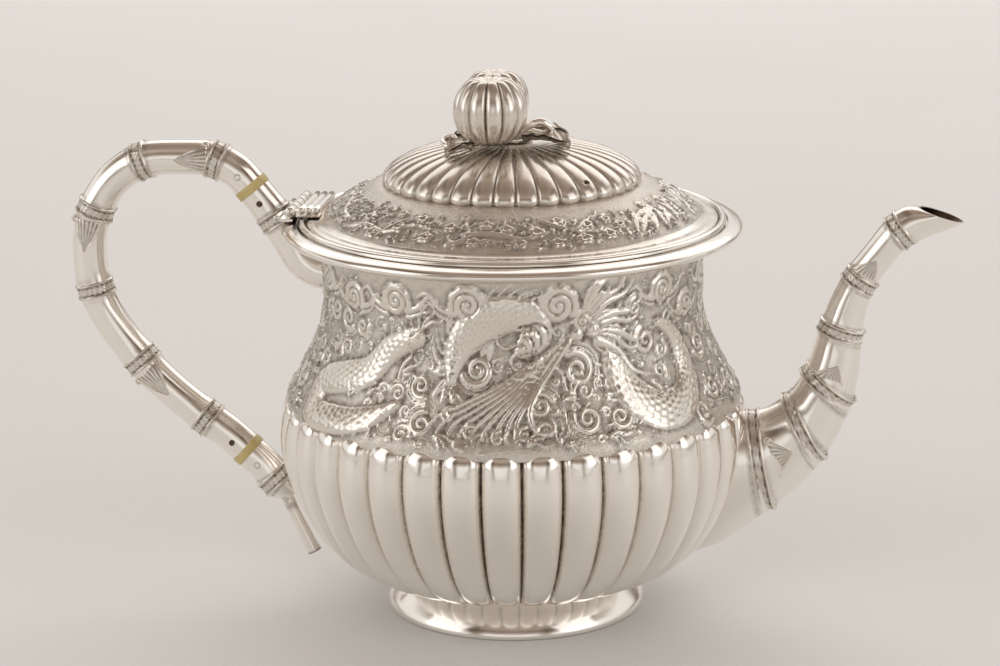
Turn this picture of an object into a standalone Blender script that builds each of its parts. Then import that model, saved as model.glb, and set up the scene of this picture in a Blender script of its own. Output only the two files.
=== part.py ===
"""Silver teapot with a bamboo handle and spout, in metres with +Z up.

The origin is on the body's axis at the level of the table. The spout points to +X and the handle to -X.
The lid turns about a hinge pin that lies along Y above the rim, on the handle's side.
Run it with: blender --background --python part.py
"""

import math

import bmesh
import bpy
from mathutils import Matrix, Vector

# Body: a gadrooned bowl, a chased neck above it and a turned foot under it
FOOT_RADIUS = 0.0382
FOOT_HEIGHT = 0.0096
FOOT_SEAT_RADIUS = 0.0325
BOWL_RADIUS = 0.0684
BOWL_HEIGHT = 0.052
FLOOR_RADIUS = 0.0315
SHOULDER_DROP = 0.0026
GADROON_TOP = 0.064
GADROONS = 36
GADROON_DEPTH = 0.0042
NECK_RADIUS = 0.0548
NECK_HEIGHT = 0.096
NECK_FLARE = 0.0012
RIM_HEIGHT = 0.110
WALL = 0.0011
FIT_GAP = 0.0003

# Rim flange and the lid that sits in it
RIM_OVERHANG = 0.012
RIM_THICKNESS = 0.0034
SEAT_WIDTH = 0.0062
SEAT_DEPTH = 0.0012
LID_WALL = 0.0010
BEAD_WIDTH = 0.0020
BEAD_HEIGHT = 0.0022
BAND_OUTER_INSET = 0.0075
DOME_RADIUS = 0.0386
DOME_BASE_RISE = 0.0107
DOME_HEIGHT = 0.0120
DOME_LOBES = 36
LOBE_DEPTH = 0.0011
BEZEL_DEPTH = 0.0055
BEZEL_CLEARANCE = 0.0007
VENT_RADIUS = 0.0010
VENT_SHARE = 0.62

# Hinge
PIN_RADIUS = 0.0007
PIN_CLEARANCE = 0.00013
KNUCKLE_RADIUS = 0.0015
KNUCKLE_GAP = 0.00025
KNUCKLES = 5
HINGE_WIDTH = 0.024
LEAF_THICKNESS = 0.0009
LEAF_REACH = 0.0030
REED_RADIUS = 0.0011
REEDS = 3

# Handle: a hollow bamboo tube between two sockets, kept apart from them by two discs
HANDLE_DEPTH = 0.0573
HANDLE_TUBE = 0.0052
HANDLE_WALL = 0.0009
HANDLE_SIDES = 12
HANDLE_LOW = 0.0426
HANDLE_RISE = 0.0123
DISC_RADIUS = 0.0057
DISC_THICKNESS = 0.0026
SPIGOT_LENGTH = 0.0068
SPIGOT_CLEARANCE = 0.0009
CROSS_PIN_RADIUS = 0.0009
CROSS_PIN_PLACE = 0.0050
NODE_RING_CLEARANCE = 0.0007
NODE_RING_WALL = 0.0006
NODE_RING_WIDTH = 0.0046
TWIG_RADIUS = 0.0024
SCAR_LENGTH = 0.0032
SCAR_THICKNESS = 0.0005
# Each node of the grip as shares: outwards of the handle's depth, upwards between the two discs
UPPER_DISC = (0.143, 1.0)
LOWER_DISC = (0.203, 0.0)
GRIP_NODES = ((0.322, 1.097), (0.710, 1.092), (0.960, 0.908), (0.983, 0.607), (0.750, 0.337), (0.414, 0.120))
UPPER_DISC_TILT = math.radians(125.6)
LOWER_DISC_TILT = math.radians(-42.2)

# Spout: stations of (outwards from the bowl, height, direction, half height, half width)
SPOUT_WALL = 0.0011
BEAK_CUT = math.radians(35.0)
SPOUT_SIDES = 20
SPOUT_STATIONS = (
    (-0.0104, 0.0392, 0.0, 0.0212, 0.0118),
    (0.0039, 0.0447, 10.5, 0.0146, 0.0112),
    (0.0110, 0.0496, 20.0, 0.0125, 0.0104),
    (0.0162, 0.0551, 28.0, 0.0109, 0.0098),
    (0.0228, 0.0677, 51.0, 0.0086, 0.0085),
    (0.0250, 0.0762, 64.0, 0.0074, 0.0074),
    (0.0262, 0.0842, 72.0, 0.0062, 0.0063),
    (0.0283, 0.0918, 65.0, 0.0055, 0.0056),
    (0.0313, 0.0989, 56.5, 0.0048, 0.0050),
    (0.0362, 0.1060, 49.0, 0.0046, 0.0047),
    (0.0423, 0.1135, 38.0, 0.0050, 0.0050),
    (0.0536, 0.1184, 72.6, 0.0069, 0.0050),
)
SPOUT_RING_STATIONS = (1, 3, 4, 6, 8, 10)
SPOUT_RING_RISE = 0.0014
SPOUT_RING_WIDTH = 0.0042
STRAINER_HOLE = 0.0015
STRAINER_PITCH = 0.0050

# Finial: two lobed melons on a boss, held by a stud and nut under the dome
MELON_RADIUS = 0.0110
MELON_HEIGHT = 0.0200
MELON_LOBES = 12
MELON_GROOVE = 0.09
MELON_SPACING = 0.0182
BACK_MELON = 0.92
MELON_OFFSET = -0.0043
BOSS_RADIUS = 0.0062
BOSS_HEIGHT = 0.0032
BOSS_ROOF = 0.0008
STUD_RADIUS = 0.0015
STUD_LENGTH = 0.0080
WASHER_RADIUS = 0.0045
WASHER_THICKNESS = 0.0008
NUT_RADIUS = 0.0034
NUT_HEIGHT = 0.0022

# Sizes that follow from the ones above
RIM_RADIUS = NECK_RADIUS + NECK_FLARE + RIM_OVERHANG
RIM_TOP = RIM_HEIGHT + RIM_THICKNESS + SEAT_DEPTH
OPENING_RADIUS = NECK_RADIUS + NECK_FLARE - WALL
SEAT_RADIUS = RIM_RADIUS - SEAT_WIDTH
SEAT_HEIGHT = RIM_HEIGHT + RIM_THICKNESS
BEAD_OUTER = SEAT_RADIUS - FIT_GAP
BEAD_INNER = BEAD_OUTER - BEAD_WIDTH
LID_EDGE = BEAD_INNER - FIT_GAP
LID_BASE = SEAT_HEIGHT + FIT_GAP
BAND_RADIUS = SEAT_RADIUS - BAND_OUTER_INSET
DOME_BASE = LID_BASE + LID_WALL + DOME_BASE_RISE
HINGE_X = -(SEAT_RADIUS + 0.0008)
HINGE_Z = LID_BASE + BEAD_HEIGHT + KNUCKLE_RADIUS + 0.0002
HANDLE_HIGH = RIM_HEIGHT + HANDLE_RISE
SPIGOT_RADIUS = (HANDLE_TUBE - HANDLE_WALL) * math.cos(math.pi / HANDLE_SIDES) - SPIGOT_CLEARANCE
NODE_RING_RADIUS = HANDLE_TUBE + NODE_RING_CLEARANCE + NODE_RING_WALL

SILVER = ("polished_silver", (0.80, 0.79, 0.76), 0.12, 1.0)
CHASED = ("chased_silver", (0.66, 0.63, 0.58), 0.25, 1.0)
IVORY = ("ivory", (0.74, 0.62, 0.34), 0.40, 0.0)


# ---------------------------------------------------------------- scene and mesh helpers


def clear_scene():
    """Remove the objects that the scene starts with."""
    for obj in list(bpy.data.objects):
        bpy.data.objects.remove(obj)


def new_collection(name):
    """A collection linked to the scene."""
    collection = bpy.data.collections.new(name)
    bpy.context.scene.collection.children.link(collection)
    return collection


def material(finish):
    """The Principled material of a finish, made once."""
    name, colour, roughness, metallic = finish
    found = bpy.data.materials.get(name)
    if found:
        return found
    made = bpy.data.materials.new(name)
    made.use_nodes = True
    shader = made.node_tree.nodes["Principled BSDF"]
    shader.inputs["Base Color"].default_value = (*colour, 1.0)
    shader.inputs["Roughness"].default_value = roughness
    shader.inputs["Metallic"].default_value = metallic
    made.diffuse_color = (*colour, 1.0)
    return made


def tidy(mesh):
    """Merge coincident points, drop what collapsed and turn the faces outwards."""
    work = bmesh.new()
    work.from_mesh(mesh)
    bmesh.ops.remove_doubles(work, verts=work.verts, dist=1e-6)
    bmesh.ops.dissolve_degenerate(work, edges=work.edges, dist=1e-7)
    bmesh.ops.recalc_face_normals(work, faces=work.faces)
    work.to_mesh(mesh)
    work.free()
    return mesh


def evaluated_mesh(obj):
    """The mesh that an object's modifiers or bevel make."""
    graph = bpy.context.evaluated_depsgraph_get()
    return bpy.data.meshes.new_from_object(obj.evaluated_get(graph))


def guide(name, data):
    """A helper object that isn't part of the teapot."""
    obj = bpy.data.objects.new(name, data)
    CUTTERS.objects.link(obj)
    obj.hide_render = True
    obj.display_type = "WIRE"
    return obj


def taken(obj):
    """The finished mesh of a helper, which is removed."""
    mesh = evaluated_mesh(obj)
    bpy.data.objects.remove(obj)
    return tidy(mesh)


def part(name, mesh, finish):
    """A named piece of the teapot, smooth where its faces meet at a low angle."""
    mesh.name = name
    mesh.materials.clear()
    mesh.materials.append(material(finish))
    mesh.shade_smooth()
    mesh.set_sharp_from_angle(angle=math.radians(35))
    obj = bpy.data.objects.new(name, mesh)
    PARTS.objects.link(obj)
    return obj


def turned(outline, steps, closed=True):
    """Mesh of an outline of (radius, height) points turned about +Z."""
    count = len(outline)
    edges = [(i, (i + 1) % count) for i in range(count if closed else count - 1)]
    mesh = bpy.data.meshes.new("outline")
    mesh.from_pydata([(radius, 0.0, height) for radius, height in outline], edges, [])
    obj = guide("turned", mesh)
    screw = obj.modifiers.new("turn", "SCREW")
    screw.steps = steps
    screw.render_steps = steps
    screw.use_merge_vertices = True
    screw.merge_threshold = 1e-5
    return taken(obj)


def tube(points, radius, sides, radii=None):
    """Mesh of a round bar along a list of points, with closed ends."""
    curve = bpy.data.curves.new("path", "CURVE")
    curve.dimensions = "3D"
    curve.bevel_depth = radius
    curve.bevel_resolution = sides // 2 - 2
    curve.use_fill_caps = True
    spline = curve.splines.new("POLY")
    spline.points.add(len(points) - 1)
    for index, point in enumerate(points):
        spline.points[index].co = (*point, 1.0)
        spline.points[index].radius = radii[index] if radii else 1.0
    return taken(guide("tube", curve))


def cylinder(radius, start, end, sides):
    """Mesh of a cylinder between two points."""
    work = bmesh.new()
    span = end - start
    turn = span.to_track_quat("Z", "Y").to_matrix().to_4x4()
    bmesh.ops.create_cone(work, cap_ends=True, segments=sides, radius1=radius, radius2=radius,
                          depth=span.length, matrix=Matrix.Translation((start + end) / 2) @ turn)
    mesh = bpy.data.meshes.new("cylinder")
    work.to_mesh(mesh)
    work.free()
    return mesh


def box(low, high):
    """Mesh of a box between two corners."""
    work = bmesh.new()
    centre = (low + high) / 2
    size = high - low
    bmesh.ops.create_cube(work, size=1.0, matrix=Matrix.Translation(centre) @ Matrix.Diagonal((*size, 1.0)))
    mesh = bpy.data.meshes.new("box")
    work.to_mesh(mesh)
    work.free()
    return mesh


def combine(mesh, other, operation):
    """A mesh with another one joined to it or cut from it."""
    obj = guide("target", mesh)
    tool = guide("tool", other)
    boolean = obj.modifiers.new("combine", "BOOLEAN")
    boolean.operation = operation
    boolean.object = tool
    boolean.solver = "EXACT"
    result = taken(obj)
    bpy.data.objects.remove(tool)
    return result


def cut(mesh, *tools):
    """A mesh with the tools cut away."""
    for tool in tools:
        mesh = combine(mesh, tool, "DIFFERENCE")
    return mesh


def join(mesh, *others):
    """A mesh with the others joined to it."""
    for other in others:
        mesh = combine(mesh, other, "UNION")
    return mesh


def solidified(mesh, thickness):
    """A wall grown inwards from an open surface whose faces point outwards."""
    obj = guide("wall", mesh)
    wall = obj.modifiers.new("wall", "SOLIDIFY")
    wall.thickness = thickness
    wall.offset = -1.0
    wall.use_even_offset = False
    return taken(obj)


# ---------------------------------------------------------------- curves


def blend(low, high, low_slope, high_slope, share):
    """Cubic between two values with a slope at each end, for a share from 0 to 1."""
    square = share * share
    cube = square * share
    return (
        low * (2 * cube - 3 * square + 1)
        + low_slope * (cube - 2 * square + share)
        + high * (3 * square - 2 * cube)
        + high_slope * (cube - square)
    )


def body_radius(height):
    """Radius over the gadroon crests and the neck at a height."""
    shoulder = BOWL_RADIUS - SHOULDER_DROP
    if height <= BOWL_HEIGHT:
        share = min((BOWL_HEIGHT - height) / (BOWL_HEIGHT - FOOT_HEIGHT), 1.0)
        return FLOOR_RADIUS + (BOWL_RADIUS - FLOOR_RADIUS) * math.sqrt(1 - share * share)
    if height <= GADROON_TOP:
        share = (height - BOWL_HEIGHT) / (GADROON_TOP - BOWL_HEIGHT)
        return BOWL_RADIUS - SHOULDER_DROP * share * share
    if height <= NECK_HEIGHT:
        span = NECK_HEIGHT - GADROON_TOP
        share = (height - GADROON_TOP) / span
        return blend(shoulder, NECK_RADIUS, -1.8 * (shoulder - NECK_RADIUS), 0.0, share)
    share = min((height - NECK_HEIGHT) / (RIM_HEIGHT - NECK_HEIGHT), 1.0)
    return NECK_RADIUS + NECK_FLARE * share * share


def levels(low, high, count):
    """Evenly spaced heights from low to high, both included."""
    return [low + (high - low) * i / (count - 1) for i in range(count)]


def smooth_path(knots, per_span):
    """Points on a Catmull-Rom curve through the knots."""
    ends = [2 * knots[0] - knots[1], *knots, 2 * knots[-1] - knots[-2]]
    points = []
    for index in range(1, len(ends) - 2):
        before, start, end, after = ends[index - 1 : index + 3]
        for step in range(per_span):
            t = step / per_span
            points.append(0.5 * (2 * start + (end - before) * t
                                 + (2 * before - 5 * start + 4 * end - after) * t * t
                                 + (3 * start - before - 3 * end + after) * t * t * t))
    points.append(knots[-1].copy())
    return points


def direction(angle):
    """Unit vector in the XZ plane, measured from +X towards +Z."""
    return Vector((math.cos(angle), 0.0, math.sin(angle)))


def frame_at(centre, along):
    """Matrix that takes +Z to a direction in the XZ plane and keeps Y."""
    side = Vector((0.0, 1.0, 0.0))
    across = side.cross(along)
    turn = Matrix((across, side, along)).transposed().to_4x4()
    return Matrix.Translation(centre) @ turn


def placed(mesh, matrix):
    """A mesh moved into place."""
    mesh.transform(matrix)
    return tidy(mesh)


# ---------------------------------------------------------------- body


def body_envelope(gap):
    """Solid of the bowl and neck, grown by a gap, for what is fitted against them."""
    heights = levels(FOOT_HEIGHT, RIM_HEIGHT, 24)
    outline = [(body_radius(height) + gap, height) for height in reversed(heights)]
    outline[0] = (outline[0][0], RIM_HEIGHT + gap)
    return turned([(0.0, RIM_HEIGHT + gap), *outline, (0.0, FOOT_HEIGHT)], 72)


def groove_depth(height):
    """Depth of the grooves between gadroons: shallow at the foot, gone at the shoulder's edge."""
    share = (height - FOOT_HEIGHT) / (GADROON_TOP - FOOT_HEIGHT)
    deepening = 0.25 + 0.75 * math.sin(min(share, 0.75) / 0.75 * math.pi / 2)
    fading = min(1.0, 7 * (1 - share))
    return GADROON_DEPTH * deepening * fading


def groove_share(place, count):
    """1 in a groove and 0 on a crest, for a number of lobes round the axis."""
    return 0.5 + 0.5 * math.cos(count * math.atan2(place.y, place.x))


def make_bowl():
    """Gadrooned bowl with a flat floor, and strainer holes where the spout joins it."""
    rise = BOWL_HEIGHT - FOOT_HEIGHT
    heights = [FOOT_HEIGHT + rise * (1 - math.cos(math.pi / 12 * step)) for step in range(1, 7)]
    heights += levels(BOWL_HEIGHT, GADROON_TOP - FIT_GAP, 3)[1:]
    outline = [(body_radius(height), height) for height in reversed(heights)]
    outline += [(FLOOR_RADIUS, FOOT_HEIGHT), (0.0, FOOT_HEIGHT)]
    mesh = turned(outline, 2 * GADROONS, closed=False)
    for vertex in mesh.vertices:
        in_groove = groove_share(vertex.co, GADROONS)
        radius = math.hypot(vertex.co.x, vertex.co.y)
        if radius > FLOOR_RADIUS:
            shrink = 1 - in_groove * groove_depth(vertex.co.z) / radius
            vertex.co.x *= shrink
            vertex.co.y *= shrink
    mesh = solidified(outwards(mesh), WALL)
    return part("body_bowl", cut(mesh, *strainer_drills()), SILVER)


def outwards(mesh):
    """An open shell of the body with its faces turned away from the axis."""
    work = bmesh.new()
    work.from_mesh(mesh)
    bmesh.ops.recalc_face_normals(work, faces=work.faces)
    middle = Vector((0.0, 0.0, (BOWL_HEIGHT + NECK_HEIGHT) / 2))
    outward = sum((face.calc_center_median() - middle).dot(face.normal) * face.calc_area()
                  for face in work.faces)
    if outward < 0:
        bmesh.ops.reverse_faces(work, faces=work.faces)
    work.to_mesh(mesh)
    work.free()
    return mesh


def strainer_drills():
    """Cylinders that pierce the bowl behind the spout, in five short rows."""
    height = SPOUT_STATIONS[0][1]
    reach = BOWL_RADIUS + 0.002
    depth = GADROON_DEPTH + WALL + 0.008
    drills = []
    for row in range(-2, 3):
        for column in (-0.5, 0.5) if row % 2 else (-1, 0, 1):
            centre = Vector((0.0, column * STRAINER_PITCH, height + row * STRAINER_PITCH))
            inner = centre + Vector((body_radius(centre.z) - depth, 0, 0))
            outer = centre + Vector((reach, 0, 0))
            drills.append(cylinder(STRAINER_HOLE, inner, outer, 6))
    return drills


def make_neck():
    """Waisted neck between the gadroons and the rim."""
    heights = levels(GADROON_TOP, RIM_HEIGHT - FIT_GAP, 7)
    outer = [(body_radius(height), height) for height in reversed(heights)]
    inner = [(radius - WALL, height) for radius, height in reversed(outer)]
    return part("body_neck", turned(outer + inner, 36), CHASED)


def make_foot():
    """Flared foot ring with a folded flat edge to stand on."""
    top = FOOT_HEIGHT - FIT_GAP
    waist = FOOT_SEAT_RADIUS
    spread = FOOT_RADIUS - waist
    outer = [
        (waist, top),
        (waist + 0.20 * spread, 0.72 * top),
        (waist + 0.58 * spread, 0.42 * top),
        (waist + 0.92 * spread, 0.22 * top),
        (FOOT_RADIUS, 0.10 * top),
        (FOOT_RADIUS, 0.0),
    ]
    inner = [
        (FOOT_RADIUS - 2 * WALL, 0.0),
        (waist + 0.58 * spread - 1.3 * WALL, 0.34 * top),
        (waist - WALL, top),
    ]
    return part("foot_ring", turned(outer + inner, 36), SILVER)


def make_rim(clearance_tool):
    """Flange round the mouth, stepped inside to seat the lid and notched where the handle passes."""
    outline = [
        (SEAT_RADIUS, RIM_TOP),
        (RIM_RADIUS - 0.0008, RIM_TOP - 0.0009),
        (RIM_RADIUS, RIM_TOP - 0.0018),
        (RIM_RADIUS - 0.0006, RIM_TOP - 0.0028),
        (RIM_RADIUS - 0.0026, RIM_HEIGHT + 0.0009),
        (OPENING_RADIUS, RIM_HEIGHT),
        (OPENING_RADIUS, SEAT_HEIGHT),
        (SEAT_RADIUS, SEAT_HEIGHT),
    ]
    return part("rim_flange", cut(turned(outline, 48), clearance_tool), SILVER)


# ---------------------------------------------------------------- lid


def make_lid_cover():
    """Flat flange and rising chased band of the lid."""
    top = LID_BASE + LID_WALL + 0.0005
    rise = DOME_BASE - top
    spread = BAND_RADIUS - DOME_RADIUS
    outer = [(DOME_RADIUS, DOME_BASE)]
    outer += [(DOME_RADIUS + spread * share, top + rise * (1 - share ** 1.35)) for share in (0.33, 0.67, 1.0)]
    outer += [(LID_EDGE, top)]
    inner = [(radius, height - LID_WALL) for radius, height in reversed(outer)]
    return part("lid_cover", turned(outer + inner, 48), CHASED)


def make_bead():
    """Rounded wire round the edge of the lid."""
    centre = (BEAD_INNER + BEAD_OUTER) / 2
    middle = LID_BASE + BEAD_HEIGHT / 2
    outline = [(centre + BEAD_WIDTH / 2 * math.cos(a), middle + BEAD_HEIGHT / 2 * math.sin(a))
               for a in (math.radians(60 * i) for i in range(3, -3, -1))]
    return part("lid_edge_bead", turned(outline, 48), SILVER)


def make_bezel():
    """Collar under the lid that keeps it centred in the mouth."""
    outer = OPENING_RADIUS - BEZEL_CLEARANCE
    inner = outer - LID_WALL
    top = LID_BASE + 0.0005 - FIT_GAP
    bottom = SEAT_HEIGHT - BEZEL_DEPTH
    outline = [(outer, top), (outer, bottom), (inner, bottom), (inner, top)]
    return part("lid_bezel", turned(outline, 48), SILVER)


def dome_height(radius):
    """Height of the dome over its base at a radius."""
    share = radius / DOME_RADIUS
    return DOME_HEIGHT * (1 - share ** 3.2) ** 0.62


def make_dome():
    """Lobed dome with a hole for the finial's stud and a steam vent."""
    base = DOME_BASE + FIT_GAP
    hole = STUD_RADIUS + FIT_GAP
    radii = [DOME_RADIUS * share for share in (0.4, 0.7, 0.87, 0.97)]
    outer = [(hole, base + DOME_HEIGHT), *((r, base + dome_height(r)) for r in radii), (DOME_RADIUS, base)]
    inner = [(DOME_RADIUS - 1.5 * LID_WALL, base), *((r - LID_WALL, base + dome_height(r) - LID_WALL)
             for r in reversed(radii[:-1])), (hole, base + DOME_HEIGHT - LID_WALL)]
    mesh = turned(outer + inner, 2 * DOME_LOBES)
    for vertex in mesh.vertices:
        radius = math.hypot(vertex.co.x, vertex.co.y)
        share = min(radius / DOME_RADIUS, 1.0)
        if share > 0.5:
            shrink = 1 - groove_share(vertex.co, DOME_LOBES) * LOBE_DEPTH * share / radius
            vertex.co.x *= shrink
            vertex.co.y *= shrink
    vent_place = Vector((VENT_SHARE * DOME_RADIUS, -VENT_SHARE * DOME_RADIUS, 0.0))
    drill = cylinder(VENT_RADIUS, vent_place + Vector((0, 0, base - 0.002)),
                     vent_place + Vector((0, 0, base + DOME_HEIGHT)), 8)
    return part("lid_dome", cut(mesh, drill), SILVER)


# ---------------------------------------------------------------- finial


def melon(name, centre, radius, height):
    """Lobed melon with a dimple on top."""
    outline = []
    rows = 9
    for row in range(rows):
        angle = math.pi * (row + 0.6) / (rows + 0.2)
        bulge = math.sin(angle) ** 0.8
        outline.append((radius * bulge, height / 2 * math.cos(angle)))
    outline = [(0.0, height * 0.40), *outline, (0.0, -height / 2)]
    mesh = turned(outline, 2 * MELON_LOBES, closed=False)
    for vertex in mesh.vertices:
        shrink = 1 - MELON_GROOVE * groove_share(vertex.co, MELON_LOBES)
        vertex.co.x *= shrink
        vertex.co.y *= shrink
    return part(name, placed(mesh, Matrix.Translation(centre)), SILVER)


def make_finial():
    """Boss, two melons, a vine and a folded leaf, with the stud, washer and nut that hold them."""
    seat = DOME_BASE + FIT_GAP + DOME_HEIGHT + FIT_GAP
    boss_top = seat + BOSS_HEIGHT
    bore = STUD_RADIUS + FIT_GAP
    boss = [(0.0, boss_top), (0.75 * BOSS_RADIUS, boss_top), (BOSS_RADIUS, seat + 0.4 * BOSS_HEIGHT),
            (BOSS_RADIUS, seat), (bore, seat), (bore, boss_top - BOSS_ROOF), (0.0, boss_top - BOSS_ROOF)]
    boss_mesh = turned(boss, 16)
    front = melon_centre(MELON_OFFSET, -MELON_SPACING / 2 - 0.0016, MELON_HEIGHT)
    back = melon_centre(MELON_OFFSET - 0.0019, MELON_SPACING / 2 + 0.0026, BACK_MELON * MELON_HEIGHT)
    cradles = [cradle(front, MELON_RADIUS), cradle(back, BACK_MELON * MELON_RADIUS)]
    part("finial_boss", cut(boss_mesh, *cradles), SILVER)
    melon("finial_melon_front", front, MELON_RADIUS, MELON_HEIGHT)
    melon("finial_melon_back", back, BACK_MELON * MELON_RADIUS, BACK_MELON * MELON_HEIGHT)
    make_vine(boss_top)
    make_finial_leaf()
    under = seat - FIT_GAP - LID_WALL - FIT_GAP
    stud_top = Vector((0, 0, boss_top - BOSS_ROOF - FIT_GAP))
    stud = cylinder(STUD_RADIUS, stud_top - Vector((0, 0, STUD_LENGTH)), stud_top, 12)
    part("finial_stud", stud, SILVER)
    washer = [(WASHER_RADIUS, under), (WASHER_RADIUS, under - WASHER_THICKNESS),
              (bore, under - WASHER_THICKNESS), (bore, under)]
    part("finial_washer", turned(washer, 16), SILVER)
    nut_top = under - WASHER_THICKNESS - FIT_GAP
    nut = [(NUT_RADIUS, nut_top), (NUT_RADIUS, nut_top - NUT_HEIGHT),
           (bore, nut_top - NUT_HEIGHT), (bore, nut_top)]
    part("finial_nut", turned(nut, 6), SILVER)


def dome_surface(x, y):
    """Height of the top of the dome above a place in plan."""
    return DOME_BASE + FIT_GAP + dome_height(min(math.hypot(x, y), DOME_RADIUS))


def melon_centre(x, y, height):
    """Centre of a melon that stands on the dome."""
    return Vector((x, y, dome_surface(x, y) + 0.0005 + height / 2))


def cradle(centre, radius):
    """Ball that hollows the boss to receive a melon."""
    work = bmesh.new()
    bmesh.ops.create_uvsphere(work, u_segments=16, v_segments=8, radius=radius + FIT_GAP,
                              matrix=Matrix.Translation(centre))
    mesh = bpy.data.meshes.new("cradle")
    work.to_mesh(mesh)
    work.free()
    return mesh


def make_vine(base):
    """Looped vine that runs over the dome beside the melons."""
    rise = base + 0.0016
    knots = [Vector((BOSS_RADIUS + 0.0012, 0.001, base - 0.0012)), Vector((0.0105, 0.0035, rise)),
             Vector((0.0125, 0.0045, rise + 0.0045)), Vector((0.0085, 0.0045, rise + 0.0068)),
             Vector((0.0062, 0.0040, rise + 0.0046)), Vector((0.0098, 0.0080, rise + 0.0020))]
    part("finial_vine", tube(smooth_path(knots, 3), 0.0012, 8), SILVER)


def make_finial_leaf():
    """Folded leaf lying on the dome towards the spout."""
    work = bmesh.new()
    bmesh.ops.create_grid(work, x_segments=4, y_segments=4, size=0.5)
    for vertex in work.verts:
        along = vertex.co.x + 0.5
        width = 0.0062 * math.sin(math.pi * min(along * 0.85 + 0.12, 1.0)) + 0.0005
        across = vertex.co.y * 2
        x, y = 0.0090 + 0.012 * along, width * across - 0.0045
        lift = 0.0018 + 0.0055 * (1 - along) ** 2 + 0.0030 * abs(across)
        vertex.co = Vector((x, y, dome_surface(x, y) + lift))
    mesh = bpy.data.meshes.new("leaf")
    work.to_mesh(mesh)
    work.free()
    part("finial_leaf", solidified(mesh, 0.0009), SILVER)


# ---------------------------------------------------------------- hinge


def knuckle_spans():
    """The stretch along Y of each knuckle, in order."""
    pitch = HINGE_WIDTH / KNUCKLES
    start = -HINGE_WIDTH / 2
    inset = KNUCKLE_GAP / 2
    return [(start + i * pitch + inset, start + (i + 1) * pitch - inset) for i in range(KNUCKLES)]


def knuckle(span, web):
    """One knuckle with the web that ties it to its leaf, given by two (x, z) corners."""
    start, end = (Vector((HINGE_X, y, HINGE_Z)) for y in span)
    barrel = cylinder(KNUCKLE_RADIUS, start, end, 12)
    (low_x, low_z), (high_x, high_z) = web
    return join(barrel, box(Vector((low_x, span[0], low_z)), Vector((high_x, span[1], high_z))))


def hinge_leaf(name, plate, spans, web, extras, cutters):
    """A hinge leaf: its plate, its knuckles and what else is joined to it, bored for the pin."""
    mesh = join(box(*plate), *(knuckle(span, web) for span in spans), *extras)
    reach = Vector((0, HINGE_WIDTH / 2 + 0.001, 0))
    axis = Vector((HINGE_X, 0, HINGE_Z))
    bore = cylinder(PIN_RADIUS + PIN_CLEARANCE, axis - reach, axis + reach, 12)
    return part(name, cut(mesh, bore, *cutters), SILVER)


def make_hinge(clearance_tool):
    """Both leaves of the reeded hinge and its pin."""
    spans = knuckle_spans()
    half = HINGE_WIDTH / 2
    clear = KNUCKLE_RADIUS + 0.0004
    rim_low = RIM_TOP + FIT_GAP
    rim_high = rim_low + LEAF_THICKNESS
    back_edge = HINGE_X - clear - LEAF_REACH
    body_plate = (Vector((back_edge, -half, rim_low)), Vector((-SEAT_RADIUS, half, rim_high)))
    body_web = ((HINGE_X - 0.9 * KNUCKLE_RADIUS, rim_low + LEAF_THICKNESS / 3), (HINGE_X + 0.0001, HINGE_Z))
    hinge_leaf("hinge_body_leaf", body_plate, spans[0::2], body_web, [], [clearance_tool])
    lid_low = LID_BASE + BEAD_HEIGHT + FIT_GAP
    lid_high = lid_low + LEAF_THICKNESS
    inner_edge = HINGE_X + clear + 2 * REEDS * REED_RADIUS
    lid_plate = (Vector((HINGE_X + clear, -half, lid_low)), Vector((inner_edge, half, lid_high)))
    lid_web = ((HINGE_X, lid_low), (HINGE_X + clear + REED_RADIUS, lid_high))
    reeds = [reed(HINGE_X + clear + (2 * i + 1) * REED_RADIUS, lid_high) for i in range(REEDS)]
    hinge_leaf("hinge_lid_leaf", lid_plate, spans[1::2], lid_web, reeds, [])
    pin = cylinder(PIN_RADIUS, Vector((HINGE_X, -half, HINGE_Z)), Vector((HINGE_X, half, HINGE_Z)), 12)
    part("hinge_pin", pin, SILVER)


def reed(x, z):
    """Round rib that runs the width of the hinge."""
    half = HINGE_WIDTH / 2 - 0.0004
    return cylinder(REED_RADIUS * 0.94, Vector((x, -half, z)), Vector((x, half, z)), 10)


# ---------------------------------------------------------------- handle


def handle_point(out, up):
    """Point in the handle's plane, from its shares outwards and upwards."""
    attach = BOWL_RADIUS + (RIM_RADIUS - BOWL_RADIUS) * up
    return Vector((-(attach + out * HANDLE_DEPTH), 0.0, HANDLE_LOW + (HANDLE_HIGH - HANDLE_LOW) * up))


def grip_ends():
    """Centres of the two discs and the directions in which the grip leaves them."""
    upper = handle_point(*UPPER_DISC)
    lower = handle_point(*LOWER_DISC)
    return (upper, direction(UPPER_DISC_TILT)), (lower, -direction(LOWER_DISC_TILT))


def spigot_knots(centre, way):
    """Three knots in line, which keep a tube straight and square to the disc along a spigot."""
    start = DISC_THICKNESS / 2 + FIT_GAP
    return [centre + way * (start + share * SPIGOT_LENGTH) for share in (0, 0.5, 1)]


def grip_knots():
    """Knots of the grip, straight for a spigot's length at each end."""
    (upper, upper_way), (lower, lower_way) = grip_ends()
    nodes = [handle_point(*node) for node in GRIP_NODES]
    return [*spigot_knots(upper, upper_way), *nodes, *reversed(spigot_knots(lower, lower_way))]


def upper_socket_knots():
    """Knots of the stem that runs from the upper disc past the rim to the neck."""
    (upper, way), _ = grip_ends()
    last = RIM_HEIGHT - 0.0155
    return [*spigot_knots(upper, -way),
            Vector((-(RIM_RADIUS + 0.0026), 0, RIM_HEIGHT + 0.0010)),
            Vector((-(RIM_RADIUS - 0.0014), 0, RIM_HEIGHT - 0.0060)),
            Vector((-(body_radius(last) + 0.0036), 0, last))]


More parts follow.
